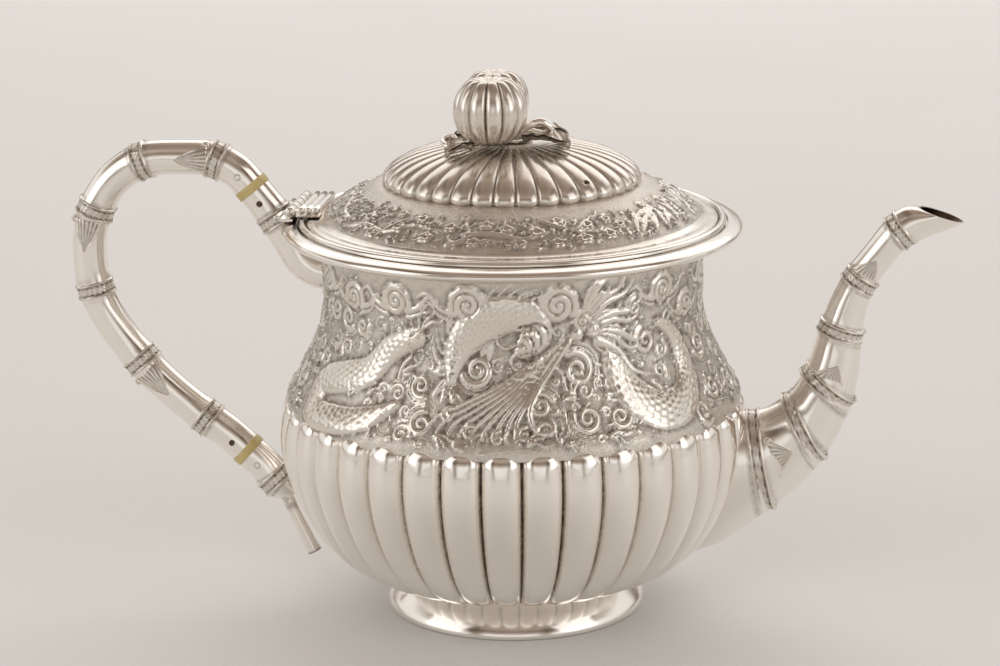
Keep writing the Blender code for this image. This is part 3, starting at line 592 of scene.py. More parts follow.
@dataclass
class Chasing:
    """Ornament beaten into a band of metal, as heights over the band unrolled flat.

    The ornament repeats: the band's columns hold one repeat, and what crosses its ends comes back in.
    """

    repeat: float
    columns: int
    levels: np.ndarray
    squeeze: float = 1.0
    height: np.ndarray = field(init=False)
    worked: np.ndarray = field(init=False)

    def __post_init__(self) -> None:
        """Start with a flat band."""
        self.height = np.zeros((self.columns, len(self.levels)))
        self.worked = np.zeros_like(self.height)

    def windows(self, points: np.ndarray, reach: float) -> list[Window]:
        """Parts of the band that a figure can touch.

        Args:
            points: Points of the figure.
            reach: How far it reaches from them.

        Returns:
            For each part, its place in the band and its coordinates.
        """
        pitch = self.repeat / self.columns
        low, high = points.min(axis=0) - reach, points.max(axis=0) + reach
        rows = slice(*np.searchsorted(self.levels, (low[1], high[1])))
        found = []
        for shift in (-self.repeat, 0.0, self.repeat):
            first = max(0, math.ceil((low[0] + shift) / pitch))
            last = min(self.columns, math.floor((high[0] + shift) / pitch) + 1)
            if first < last and rows.start < rows.stop:
                along = np.arange(first, last) * pitch - shift
                grid = np.meshgrid(along, self.levels[rows], indexing="ij")
                found.append(((slice(first, last), rows), *grid))
        return found

    def measure(
        self, points: np.ndarray, s: np.ndarray, t: np.ndarray
    ) -> tuple[np.ndarray, np.ndarray, np.ndarray]:
        """Distance from a line, with the run along it and the side.

        Args:
            points: Points of the line.
            s: First coordinates.
            t: Second coordinates.

        Returns:
            Signed distance, run along the line in millimetres, and its share of the whole.
        """
        scaled = points * (self.squeeze, 1.0)
        s = s * self.squeeze
        best = np.full(s.shape, np.inf)
        run = np.zeros(s.shape)
        side = np.zeros(s.shape)
        past = 0.0
        for start, end in zip(scaled, scaled[1:]):
            span = end - start
            length = math.hypot(*span)
            if length < 1e-9:
                continue
            share = np.clip(((s - start[0]) * span[0] + (t - start[1]) * span[1]) / length**2, 0, 1)
            off_s, off_t = s - start[0] - share * span[0], t - start[1] - share * span[1]
            distance = np.hypot(off_s, off_t)
            near = distance < best
            best = np.where(near, distance, best)
            run = np.where(near, past + share * length, run)
            side = np.where(near, np.sign(span[0] * off_t - span[1] * off_s), side)
            past += length
        return best * side, run, run / max(past, 1e-9)

    def lay(self, place: Region, value: np.ndarray, over: bool = False) -> None:
        """Raise a figure out of the band.

        Args:
            place: Where it lies.
            value: Its height, 0 or less outside it.
            over: True if it hides what is under it.
        """
        inside = value > 0
        old = self.height[place]
        self.height[place] = np.where(inside, value if over else np.maximum(old, value), old)
        self.worked[place] = np.maximum(self.worked[place], np.clip(value / 0.12, 0, 1))

    def ridge(self, points: np.ndarray, width: float, height: float, taper: float = 0.35,
              over: bool = False) -> None:
        """A rounded line that thins towards its end.

        Args:
            points: Its points.
            width: Half width at its start.
            height: Height at its start.
            taper: Share of the width left at its end.
            over: True if it hides what is under it.
        """
        for place, s, t in self.windows(points, width):
            off, _, share = self.measure(points, s, t)
            size = 1 - (1 - taper) * share
            shape = np.clip(1 - (off / (width * size)) ** 2, 0, 1)
            self.lay(place, height * (0.5 + 0.5 * size) * np.sqrt(shape), over)

    def groove(self, points: np.ndarray, width: float, depth: float) -> None:
        """A line cut into what is raised already.

        Args:
            points: Its points.
            width: Half width.
            depth: Depth at its middle.
        """
        for place, s, t in self.windows(points, width):
            off, _, _ = self.measure(points, s, t)
            cut = depth * np.clip(1 - (off / width) ** 2, 0, 1)
            self.height[place] = np.maximum(self.height[place] - cut, 0.0)

    def disc(self, centre: Point, radius: float, height: float, over: bool = False,
             flat: float = 2.0) -> None:
        """A round boss, domed at a flatness of 2 and level-topped above it.

        Args:
            centre: Its middle.
            radius: Its radius.
            height: Its height.
            over: True if it hides what is under it.
            flat: How level its top is, 2 for a dome.
        """
        spot = np.array([centre])
        for place, s, t in self.windows(spot, radius / self.squeeze):
            away = np.hypot((s - centre[0]) * self.squeeze, t - centre[1])
            self.lay(place, height * np.sqrt(np.clip(1 - (away / radius) ** flat, 0, 1)), over)

    def curl(self, centre: Point, radius: float, first: float, turns: float = 1.6,
             height: float = 0.75) -> None:
        """A curling wave: a thick spiral with thinner lines that follow its back.

        Args:
            centre: Middle of the spiral.
            radius: Radius of its outer end.
            first: Direction of its outer end in degrees.
            turns: Turns it makes, negative for clockwise.
            height: Its height.
        """
        self.ridge(spiral(centre, radius, 0.18 * radius, first, turns), 0.17 * radius + 0.25, height, 0.55)
        for step in (1.25, 1.5):
            line = spiral(centre, step * radius, 0.9 * step * radius, first, 0.42 * math.copysign(1, turns))
            self.ridge(line, 0.36, 0.6 * height, 0.4)

    def cloud(self, centre: Point, radius: float, sense: int = 1) -> None:
        """A cloud head: raised lobes with a spiral cut into them, and a trailing tail on each side.

        Args:
            centre: Middle of the head.
            radius: Radius of the head.
            sense: 1 for a counterclockwise spiral, -1 for a clockwise one.
        """
        cx, cy = centre
        for turn in range(6):
            angle = math.radians(200 * turn / 5 - 10)
            lobe = (cx + 0.62 * radius * math.cos(angle) / self.squeeze,
                    cy + 0.62 * radius * math.sin(angle))
            self.disc(lobe, 0.46 * radius, 0.72, flat=5.0)
        self.disc(centre, 0.80 * radius, 0.84, flat=5.0)
        self.groove(spiral(centre, 0.86 * radius, 0.10 * radius, 250, 1.9 * sense), 0.34, 0.5)
        self.groove(spiral(centre, 1.0 * radius, 0.94 * radius, 150, -0.32), 0.28, 0.4)
        for side in (-1, 1):
            tail = smooth([(cx + side * 0.7 * radius, cy - 0.45 * radius),
                           (cx + side * 1.5 * radius, cy - 0.2 * radius),
                           (cx + side * 2.2 * radius, cy + 0.45 * radius),
                           (cx + side * 2.7 * radius, cy + 0.2 * radius)], 8)
            self.ridge(tail, 0.20 * radius, 0.6, 0.3)
            self.ridge(tail - (0.0, 0.36 * radius), 0.12 * radius, 0.5, 0.3)

    def scaled_body(self, knots: Sequence[Point], widths: Sequence[float], height: float,
                    pitch: float) -> None:
        """A fish's or serpent's body: a thick rounded bar covered in overlapping scales.

        Args:
            knots: Knots along its middle.
            widths: Half widths at even steps.
            height: Height of its back.
            pitch: Length of a scale.
        """
        points = smooth(knots, 8)
        shares = np.linspace(0, 1, len(widths))
        for place, s, t in self.windows(points, max(widths) / self.squeeze):
            off, run, share = self.measure(points, s, t)
            across = off / np.interp(share, shares, widths)
            dome = np.sqrt(np.clip(1 - across**2, 0, 1))
            row = np.floor(run / pitch)
            cell = off / pitch + 0.5 * (row % 2)
            cell -= np.floor(cell) + 0.5
            tip = run / pitch - row
            scale = np.clip(1.15 - np.hypot(2 * cell, 1 - tip) * 0.8, 0, 1) * (1 - np.abs(across)) ** 0.3
            self.lay(place, np.where(dome > 0.02, height * dome + 0.34 * scale - 0.1, 0.0), over=True)

    def comb(self, knots: Sequence[Point], reach: float, count: int, lean: float = 0.8) -> None:
        """A row of pointed spines or fin rays along one side of a line.

        Args:
            knots: Knots of the line.
            reach: Length of a spine.
            count: How many spines.
            lean: How far they lean along the line.
        """
        points = smooth(knots, 8)
        for share in np.linspace(0.04, 0.96, count):
            at = int(share * (len(points) - 2))
            way = points[at + 1] - points[at]
            way /= np.linalg.norm(way)
            out = np.array([-way[1], way[0]])
            tip = points[at] + reach * (out + lean * way)
            bend = points[at] + 0.6 * reach * out + 0.15 * reach * way
            self.ridge(smooth([points[at], bend, tip], 4), 0.62, 0.62, 0.25)

    def flame(self, start: Point, heading: float, length: float, sway: float) -> None:
        """A tongue of flame or mane: two bends and a fine tip.

        Args:
            start: Its root.
            heading: Direction in degrees.
            length: Its length.
            sway: How far its bends reach sideways.
        """
        angle = math.radians(heading)
        way = np.array([math.cos(angle), math.sin(angle)])
        out = np.array([-way[1], way[0]])
        base = np.asarray(start, float)
        knots = [base, base + 0.35 * length * way + 0.5 * sway * out,
                 base + 0.7 * length * way - 0.3 * sway * out, base + length * way + 0.8 * sway * out]
        self.ridge(smooth(knots, 6), 0.08 * length, 0.85, 0.12, over=True)

    def blossom(self, centre: Point, radius: float) -> None:
        """A five-petalled flower with a beaded eye.

        Args:
            centre: Its middle.
            radius: Its radius.
        """
        for turn in range(5):
            angle = math.radians(90 + 72 * turn)
            petal = (centre[0] + 0.55 * radius * math.cos(angle) / self.squeeze,
                     centre[1] + 0.55 * radius * math.sin(angle))
            self.disc(petal, 0.44 * radius, 0.62)
        self.groove(np.array([centre, (centre[0] + 0.01, centre[1])]), 0.32 * radius, 0.4)
        self.disc(centre, 0.17 * radius, 0.6)

    def leaf(self, start: Point, heading: float, length: float, width: float) -> None:
        """A slim leaf with a cut midrib.

        Args:
            start: Its stalk.
            heading: Direction in degrees.
            length: Its length.
            width: Half width.
        """
        angle = math.radians(heading)
        way = np.array([math.cos(angle) / self.squeeze, math.sin(angle)])
        base = np.asarray(start, float)
        line = np.array([base + length * share * way for share in np.linspace(0, 1, 8)])
        for place, s, t in self.windows(line, width / self.squeeze):
            off, _, share = self.measure(line, s, t)
            size = width * np.sin(np.pi * np.clip(share * 0.94 + 0.05, 0, 1)) ** 0.8 + 0.05
            self.lay(place, 0.55 * np.sqrt(np.clip(1 - (off / size) ** 2, 0, 1)))
        self.groove(line, 0.2, 0.3)

    def fill(self, radius: float, seed: int, low: float, high: float) -> None:
        """Curls in the places left bare, each with its following lines if it is large.

        Args:
            radius: Usual radius of a curl.
            seed: Seed of the random draws.
            low: Lowest level.
            high: Highest level.
        """
        random = np.random.default_rng(seed)
        for _ in range(900):
            centre = (random.uniform(0, self.repeat), random.uniform(low, high))
            size = radius * random.uniform(0.7, 1.25)
            spots = self.windows(np.array([centre]), size)
            if sum(self.worked[place].mean() for place, _, _ in spots) > 0.16 * len(spots):
                continue
            heading = random.uniform(0, 360)
            if random.random() < 0.42:
                for lean in (-28, 0, 28):
                    self.flame(centre, heading + lean, size * random.uniform(1.8, 2.6), 0.35 * size)
            elif size > 2.4:
                self.curl(centre, size, heading, random.choice((-1.5, 1.5)), 0.65)
            else:
                self.ridge(spiral(centre, size, 0.2 * size, heading, random.choice((-1.3, 1.3))),
                           0.42, 0.5, 0.5)

    def hollows(self) -> np.ndarray:
        """How deep each place lies beside what stands round it, from 0 to 1.

        Returns:
            One value for each place.
        """
        around = self.height
        for axis, reach in ((0, 4), (1, 4)):
            padded = np.pad(around, [(reach, reach) if a == axis else (0, 0) for a in (0, 1)],
                            mode="wrap" if axis == 0 else "edge")
            total = sum(np.take(padded, range(k, k + around.shape[axis]), axis=axis)
                        for k in range(2 * reach + 1))
            around = total / (2 * reach + 1)
        return np.clip((around - self.height) / 0.28, 0, 1)


def chased_wall(name: str, outer: np.ndarray, inner: np.ndarray, work: Chasing, turn: float,
                soiled: Point) -> bpy.types.Object:
    """Roll a chased band and its plain inside into one wall, with the ornament twice round.

    Args:
        name: Name of the piece.
        outer: Points of (radius, height) on the outside, one for each level of the ornament.
        inner: Points on the inside, from the outside's last point back to its first.
        work: The ornament.
        turn: Degrees that the ornament is turned about the axis.
        soiled: Patina on the open ground and in the hollows.

    Returns:
        The wall.
    """
    line = np.vstack([outer, inner, outer[:1]])
    lift = np.zeros((work.columns, len(line)))
    lift[:, : len(outer)] = work.height
    lift[:, -1] = work.height[:, 0]
    soil = np.full(lift.shape, 0.2)
    soil[:, : len(outer)] = np.clip(soiled[0] * (1 - work.worked) + soiled[1] * work.hollows(), 0, 1)
    matt = np.zeros(lift.shape)
    matt[:, : len(outer)] = 1 - work.worked
    slope = np.gradient(outer, axis=0)
    slope /= np.linalg.norm(slope, axis=1)[:, None]
    normal = np.zeros((len(line), 2))
    normal[: len(outer)] = np.column_stack([slope[:, 1], -slope[:, 0]])
    normal[-1] = normal[0]
    around = 2 * work.columns

    def place(column: np.ndarray, row: np.ndarray) -> Shape:
        """Points of the chased wall.

        Args:
            column: Whole numbers along the sheet's first direction.
            row: Whole numbers along its second direction.

        Returns:
            Points in millimetres, and values for each point.
        """
        at = column % work.columns
        angle = np.radians((column % around) * 360 / around + 180 + turn)
        rise = lift[at, row]
        radius = line[row, 0] + rise * normal[row, 0]
        height = line[row, 1] + rise * normal[row, 1]
        return about_axis(radius, angle, height), {"patina_and_shade": soil[at, row], "ground": matt[at, row]}

    return rolled(name, around, len(line) - 1, place, 80.0)


# ---------------------------------------------------------------- body


@dataclass
class Bowl:
    """Bowl raised in one piece, with 36 gadroons pressed out of it from inside."""

    gadroons: int = 36
    crest: float = 68.35
    widest: float = 52.0
    floor_radius: float = 31.5
    floor: float = 9.6
    top: float = 64.6
    depth: float = 4.2
    wall: float = 1.1
    columns_per_gadroon: int = 16
    rows: int = 66
    inner_rows: int = 24

    def profile(self, height: np.ndarray) -> np.ndarray:
        """Radius over the crests at a height.

        Args:
            height: Heights over the table.

        Returns:
            One radius for each height.
        """
        drop = np.clip((self.widest - height) / (self.widest - self.floor), 0, 1)
        low = self.floor_radius + (self.crest - self.floor_radius) * np.sqrt(1 - drop**2)
        rise = np.clip((height - self.widest) / 12.0, 0, 1.2)
        return np.where(height < self.widest, low - 0.6 * np.sin(np.pi * drop) ** 2,
                        self.crest - 2.0 * rise**2)

    def place(self, column: np.ndarray, row: np.ndarray) -> Shape:
        """Points of the bowl: outside from the floor to the top, then back down inside.

        Args:
            column: Whole numbers along the sheet's first direction.
            row: Whole numbers along its second direction.

        Returns:
            Points in millimetres, and values for each point.
        """
        columns = self.gadroons * self.columns_per_gadroon
        angle = (column % columns) * math.tau / columns
        across = 2 * ((column % self.columns_per_gadroon) / self.columns_per_gadroon) - 1
        outside = row <= self.rows
        share = np.where(outside, row / self.rows, 1 - (row - self.rows - 1) / (self.inner_rows - 1))
        share = np.clip(share, 0, 1)
        eased = np.sin(share * math.pi / 2) ** 0.9 * 0.35 + share * 0.65
        height = self.floor + (self.top - self.floor) * (0.25 * share**2.2 + 0.75 * eased)
        lobe = np.sqrt(np.clip(1 - np.abs(across) ** 2.15, 0, 1))
        start = self.top - 5.2
        over = np.clip((height - start) / (self.top - start), 0, 1)
        arch = np.sqrt(np.clip(1 - np.abs(across) ** 2.4 - over**3.0, 0, 1))
        lobe = np.where(height > start, arch, lobe)
        radius = self.profile(height)
        deep = np.minimum(self.depth, 0.86 * math.pi * radius / self.gadroons)
        radius = radius - deep * (1 - lobe)
        radius = np.where(outside, radius, radius - self.wall)
        height = np.where(outside, height, height + self.wall * 0.6 * (1 - share))
        bottom = (row == 0) | (row > self.rows + self.inner_rows)
        radius = np.where(bottom, 0.0, radius)
        height = np.where(row == 0, self.floor, height)
        height = np.where(row > self.rows + self.inner_rows, self.floor + self.wall, height)
        points = about_axis(radius, angle, height)
        edge = (1 - np.abs(across)) * math.pi * radius / self.gadroons
        groove = 0.6 * np.exp(-((edge / 0.30) ** 1.2))
        corner = 0.6 * np.exp(-((self.top - height) / 0.7) ** 2) * (across**2)
        return points, {"patina_and_shade": np.where(outside, np.clip(groove + corner, 0, 1), 0.25)}

    def build(self) -> None:
        """Make the bowl."""
        columns = self.gadroons * self.columns_per_gadroon
        obj = rolled("gadrooned_bowl", columns, self.rows + self.inner_rows + 1, self.place, 75.0)
        dress(obj, FINISHES.polished, Body.POT, "body_bowl")


@dataclass
class Neck:
    """Waisted neck, chased all round with clouds, waves, carp and plumes of water on matted ground."""

    outline: Sequence[Point] = ((66.0, 61.6), (65.8, 64.0), (63.0, 68.5), (60.0, 74.5), (57.0, 80.5),
                                (55.0, 87.0), (54.3, 94.0), (54.4, 102.0), (55.6, 110.0))
    wall: float = 1.1
    columns: int = 432
    turn: float = 8.25
    soiled: Point = (0.14, 0.62)
    clouds: Sequence[Sequence[float]] = ((54, 101.6, 5.2, 1), (77, 102.2, 5.8, -1),
                                         (103, 101.9, 6.0, 1), (139, 102.4, 5.0, -1),
                                         (152, 95.5, 4.6, 1), (166, 102.4, 5.0, -1),
                                         (179, 96.0, 5.0, 1), (19, 102.4, 5.2, -1), (36, 100.0, 4.8, 1),
                                         (7, 88.0, 4.2, -1))
    curls: Sequence[Sequence[float]] = ((80, 84.5, 4.4, 200, 1.7), (108, 84.0, 5.0, 120, -1.7),
                                        (97, 75.5, 3.6, 20, 1.6), (109, 71.5, 4.0, 160, 1.6),
                                        (118, 71.0, 3.4, 30, -1.6), (12, 73.0, 4.4, 150, 1.7),
                                        (168, 70.5, 4.2, 60, -1.6), (157, 83.0, 4.2, 200, 1.6),
                                        (173, 86.0, 3.8, 20, -1.6), (2, 80.5, 3.8, 140, 1.6),
                                        (66, 70.0, 3.4, 80, 1.6), (155, 71.5, 3.6, 130, 1.6),
                                        (64, 79.5, 3.2, 300, -1.6), (20, 93.0, 3.2, 60, 1.5),
                                        (128, 99.0, 2.6, 90, 1.4), (167, 94.0, 3.4, 240, 1.5),
                                        (117, 79.5, 2.8, 240, 1.5), (40, 92.0, 2.8, 10, -1.5))

    def ornament(self, levels: np.ndarray) -> Chasing:
        """Chase one repeat of the neck's ornament.

        Args:
            levels: Heights of the band's rows.

        Returns:
            The chased band, half of the way round.
        """
        work = Chasing(180.0, self.columns, levels)
        self.waves(work)
        self.plume(work)
        self.serpents(work)
        self.carp(work)
        self.mane(work)
        for s, t, radius, sense in self.clouds:
            work.cloud((s, t), radius, sense)
        work.fill(3.3, 11, 66.5, 102.0)
        work.fill(2.1, 7, 65.5, 104.0)
        work.fill(1.2, 5, 64.5, 106.0)
        fade = np.clip((108.6 - levels) / 1.4, 0, 1) * np.clip((levels - 61.8) / 1.0, 0, 1)
        work.height *= fade
        return work

    def waves(self, work: Chasing) -> None:
        """Curling waves over the lower half.

        Args:
            work: The band to chase.
        """
        for s, t, radius, first, turns in self.curls:
            work.curl((s, t), radius, first, turns)

    @staticmethod
    def plume(work: Chasing) -> None:
        """Water that sweeps down from the right and breaks into curling strands.

        Args:
            work: The band to chase.
        """
        for step in range(9):
            share = step / 8
            knots = [(107.5 - 0.9 * share, 93.6 - 1.2 * share), (98 + 1.5 * share, 87.6 - 2.0 * share),
                     (87.5 + 7 * share, 81.2 - 3.6 * share), (76 + 14.5 * share, 75.5 - 5.2 * share),
                     (69.5 + 21 * share, 71.8 - 4.6 * share), (67.5 + 23.5 * share, 68.6 - 2.4 * share)]
            work.ridge(smooth(knots, 8), 0.85, 0.95 - 0.25 * abs(share - 0.3), 0.45, over=True)
        for s, t, radius, first, turns in ((73, 72.8, 2.2, 60, 1.3), (98, 69.2, 2.4, 170, -1.4),
                                           (86, 67.6, 1.8, 80, 1.2), (92.5, 68.4, 1.9, 80, 1.3),
                                           (79, 68.8, 1.9, 60, 1.3)):
            work.ridge(spiral((s, t), radius, 0.3, first, turns), 0.62, 0.8, 0.5, over=True)
        long = smooth([(106, 91.5), (101, 85), (96.5, 79), (94, 73), (96.5, 68.6), (100.2, 69.4),
                       (99.4, 72.0)], 8)
        work.ridge(long, 1.0, 1.05, 0.5, over=True)

    @staticmethod
    def serpents(work: Chasing) -> None:
        """Two scaled bodies that coil through the waves, with spines along their backs.

        Args:
            work: The band to chase.
        """
        right = [(121, 93), (119.5, 85), (123, 76.5), (132, 70.5), (141.5, 72), (146.5, 80),
                 (143.5, 89), (137, 93)]
        work.comb([(s - 0.4, t) for s, t in right[::-1]], 5.8, 22, 0.4)
        work.comb(right, 4.4, 16, 0.4)
        work.scaled_body(right, (2.2, 4.2, 5.2, 5.2, 4.6, 4.0, 3.0, 1.4), 1.25, 1.9)
        left = [(61, 92), (52, 87.5), (45, 80.5), (36, 77.5), (26.5, 73.5), (27.5, 67.6), (38, 66.6),
                (50, 69.5), (58, 74)]
        work.comb(left[::-1], 5.2, 24, 0.4)
        work.scaled_body(left, (3.0, 3.9, 4.3, 4.4, 4.2, 3.9, 3.8, 3.2, 1.2), 1.2, 1.9)
        for heading in range(5):
            work.flame((60 + heading, 93 + 0.6 * heading), 150 - 32 * heading, 7.5, 1.0)

    @staticmethod
    def carp(work: Chasing) -> None:
        """A leaping carp that bends over the waves.

        Args:
            work: The band to chase.
        """
        back = [(72.5, 81.5), (73.5, 88.5), (79, 95.6), (87.5, 99.8), (95.5, 98.6), (97.5, 94.0),
                (93.0, 90.2)]
        work.comb(back[:5], 7.6, 17, 0.9)
        for heading in (-130, -105, -80, -60, 170):
            work.leaf((72.5, 83.0), heading, 7.5, 1.1)
        work.scaled_body(back, (1.6, 4.0, 5.6, 5.8, 5.0, 4.0, 2.6), 1.35, 1.7)
        for share, radius in ((0.0, 4.1), (0.28, 3.3), (0.6, 2.5), (0.9, 1.7)):
            work.disc((96.2 - 4.6 * share, 93.6 - 3.6 * share), radius, 1.25 - 0.3 * share, over=True)
        work.groove(spiral((93.6, 92.6), 4.4, 4.2, 20, 0.28), 0.42, 0.7)
        work.groove(smooth([(89.6, 90.4), (91.6, 91.2), (93.0, 92.6)], 5), 0.35, 0.6)
        work.disc((94.6, 94.4), 0.95, 1.75)
        work.ridge(smooth([(90.4, 91.4), (87.4, 90.6), (85.2, 92.4), (86.2, 94.4)], 6), 0.5, 0.8, 0.4,
                   over=True)
        work.ridge(smooth([(91.2, 89.4), (89.2, 86.8), (90.4, 84.6)], 6), 0.5, 0.8, 0.4, over=True)
        for heading in (-150, -125, -100):
            work.leaf((84.0, 93.0), heading, 6.0, 1.0)

    @staticmethod
    def mane(work: Chasing) -> None:
        """Tongues of spray that fly out to the right of the plume's root.

        Args:
            work: The band to chase.
        """
        for step in range(13):
            work.flame((111.5 + 0.3 * step, 99.5 - 0.7 * step), 70 - 9.0 * step,
                       17.0 + 4.0 * math.sin(2.2 * step), 2.2)
        for s, t, radius in ((110.5, 97.0, 3.0), (113.5, 94.5, 2.4), (108.6, 93.4, 2.0)):
            work.disc((s, t), radius, 1.2, over=True)
        work.groove(spiral((110.5, 97.0), 2.4, 0.4, 30, 1.6), 0.35, 0.6)
        work.groove(spiral((113.5, 94.5), 1.9, 0.4, 200, -1.4), 0.32, 0.5)

    def build(self) -> None:
        """Make the neck."""
        outer = spread(smooth(self.outline, 8), 0.42)
        inner = spread(smooth(self.outline, 8), 3.0)[::-1] - (self.wall, 0.0)
        work = self.ornament(outer[:, 1])
        wall = chased_wall("chased_neck", outer, inner, work, self.turn, self.soiled)
        dress(wall, FINISHES.chased, Body.POT, "body_neck")


@dataclass
class Foot:
    """Spun foot ring with a hollow moulding and a flat edge."""

    outline: Sequence[Point] = ((33.1, 9.3), (33.4, 8.4), (34.2, 7.3), (35.2, 6.0), (36.4, 4.3),
                                (37.4, 2.9), (38.0, 1.7), (38.2, 0.9), (38.2, 0.2), (38.0, 0.0),
                                (36.1, 0.0), (35.9, 0.3), (35.2, 1.6), (33.8, 4.0), (32.6, 6.6),
                                (31.6, 9.3))

    def build(self) -> None:
        """Make the foot."""
        obj = turned("spun_foot", self.outline, 240)
        dress(obj, FINISHES.polished, Body.POT, "foot_ring")


@dataclass
class Rim:
    """Flange round the mouth, with a wire under it and a step inside for the lid."""

    outline: Sequence[Point] = ((54.9, 110.0), (55.7, 109.2), (56.4, 109.0), (57.0, 109.4),
                                (57.1, 110.1), (59.0, 110.4), (62.5, 110.7), (64.4, 111.1),
                                (65.6, 111.7), (66.25, 112.4), (66.3, 112.9), (66.0, 113.4),
                                (65.5, 113.8), (64.8, 114.1), (63.6, 114.4), (62.4, 114.6),
                                (62.0, 114.5), (61.85, 114.2), (61.8, 113.4), (54.9, 113.4))

    def build(self) -> None:
        """Make the flange."""
        obj = turned("mouth_flange", self.outline, 288)
        dress(obj, FINISHES.polished, Body.POT, "rim_flange")


# ---------------------------------------------------------------- lid


@dataclass
class Lid:
    """Lid: a flat flange, a chased band that rises to a lobed dome, an edge wire and a collar below."""

    band: Sequence[Point] = ((59.1, 115.0), (58.9, 115.5), (58.0, 115.8), (55.6, 115.9), (54.8, 116.2),
                             (52.6, 117.9), (50.0, 119.7), (47.0, 121.6), (44.0, 123.1), (41.0, 124.4),
                             (38.9, 125.3), (37.0, 125.7), (34.5, 125.8))
    wall: float = 1.0
    columns: int = 360
    lobes: int = 36
    dome: Sequence[Point] = ((36.6, 125.0), (37.2, 126.0), (37.2, 127.4), (36.0, 129.4), (33.4, 131.5),
                             (29.4, 133.5), (24.0, 135.2), (18.0, 136.4), (12.0, 137.1), (5.0, 137.5),
                             (0.0, 137.6))
    dome_height: float = 12.6
    lobe_depth: float = 1.7
    columns_per_lobe: int = 14
    turn: float = 8.25
    soiled: Point = (0.12, 0.55)
    chased: Point = (6.2, 20.0)
    branches: Sequence[Sequence[Point]] = (((28, 8), (36, 11), (46, 10), (55, 14), (66, 12)),
                                           ((70, 8), (76, 12), (74, 17), (82, 19)),
                                           ((74, 12), (84, 13), (94, 11), (104, 14)),
                                           ((100, 18), (108, 14), (118, 12), (128, 9)),
                                           ((46, 10), (50, 15), (60, 18)),
                                           ((8, 16), (16, 12), (28, 11)), ((112, 13), (118, 17),
                                                                           (126, 18)))
    blossoms: Sequence[Sequence[float]] = ((34, 13.5, 2.3), (41, 8.8, 2.1), (50, 12.4, 2.4),
                                           (57, 16.8, 2.2), (62, 10.2, 2.3), (69, 14.6, 2.2),
                                           (78, 9.4, 2.1), (81, 16.2, 2.4), (88, 14.6, 2.2),
                                           (92, 9.2, 2.2), (98, 13.2, 2.5), (104, 9.0, 2.0),
                                           (106, 17.2, 2.2), (113, 9.8, 2.3), (116, 14.8, 2.2),
                                           (122, 10.4, 2.2), (124, 16.0, 2.0), (14, 14.8, 2.3),
                                           (22, 9.6, 2.2), (47, 17.8, 1.9), (73, 19.0, 1.8),
                                           (128, 13.2, 1.9))
    leaves: Sequence[Sequence[float]] = ((132, 9, 60), (134, 9, 40), (136, 9.5, 75), (140, 8, 50),
                                         (143, 9, 95), (146, 8, 70), (148, 9, 45), (150, 12, 110),
                                         (141, 13, 30), (138, 15, 10), (152, 8, 80), (155, 9, 60),
                                         (158, 9, 100), (3, 9, 60), (174, 11, 120), (172, 9, 60),
                                         (165, 10, 80), (168, 12, 40))
    top_blossoms: Sequence[Sequence[float]] = ((160, 17.5, 2.4), (5, 17.5, 2.2), (179, 14.5, 2.3),
                                               (146, 18.4, 1.8))

    def ornament(self, run: np.ndarray) -> Chasing:
        """Chase prunus branches, blossom and bamboo leaves on one repeat of the band.

        Args:
            run: Distance of each row from the band's outer edge.

        Returns:
            The chased band, half of the way round.
        """
        work = Chasing(180.0, self.columns, run, 0.82)
        low, high = self.chased
        for branch in self.branches:
            line = smooth(branch, 8)
            work.ridge(line, 0.75, 0.75, 0.4)
            for share in (0.3, 0.5, 0.72):
                at = int(share * (len(line) - 1))
                twig = smooth([line[at], line[at] + (1.8, 1.8), line[at] + (2.4, 3.6)], 5)
                work.ridge(twig, 0.4, 0.5, 0.4)
        for s, t, radius in self.blossoms:
            work.blossom((s, t), radius)
        for s, t, heading in self.leaves:
            work.leaf((s, t), heading, 8.5, 0.95)
        for s, t, radius in self.top_blossoms:
            work.blossom((s, t), radius)
        work.fill(1.4, 3, low + 1.0, high - 1.6)
        work.height *= np.clip((run - low) / 0.6, 0, 1) * np.clip((22.4 - run) / 0.8, 0, 1)
        work.worked = np.where(run < low - 0.4, 1.0, work.worked)
        return work

    def build_band(self) -> None:
        """Make the flange and the chased band in one sheet."""
        outer = spread(smooth(self.band, 6), 0.38)
        inner = spread(self.band, 2.5)[::-1] - (0.0, self.wall)
        inner[:, 0] = np.minimum(inner[:, 0], self.band[0][0])
        run = np.concatenate([[0.0], np.cumsum(np.hypot(*np.diff(outer, axis=0).T))])
        wall = chased_wall("chased_lid_band", outer, inner, self.ornament(run), self.turn, self.soiled)
        dress(wall, FINISHES.chased, Body.LID, "lid_cover")

    def build_dome(self) -> None:
        """Make the dome, its lobes pressed out like the gadroons below."""
        columns = self.lobes * self.columns_per_lobe
        rows, inner = 46, 12

        outline = spread(smooth(self.dome, 6), 0.2)
        steps = np.linspace(0, len(outline) - 1, rows + 1)
        flats = np.interp(steps, np.arange(len(outline)), outline[:, 0])
        levels = np.interp(steps, np.arange(len(outline)), outline[:, 1])

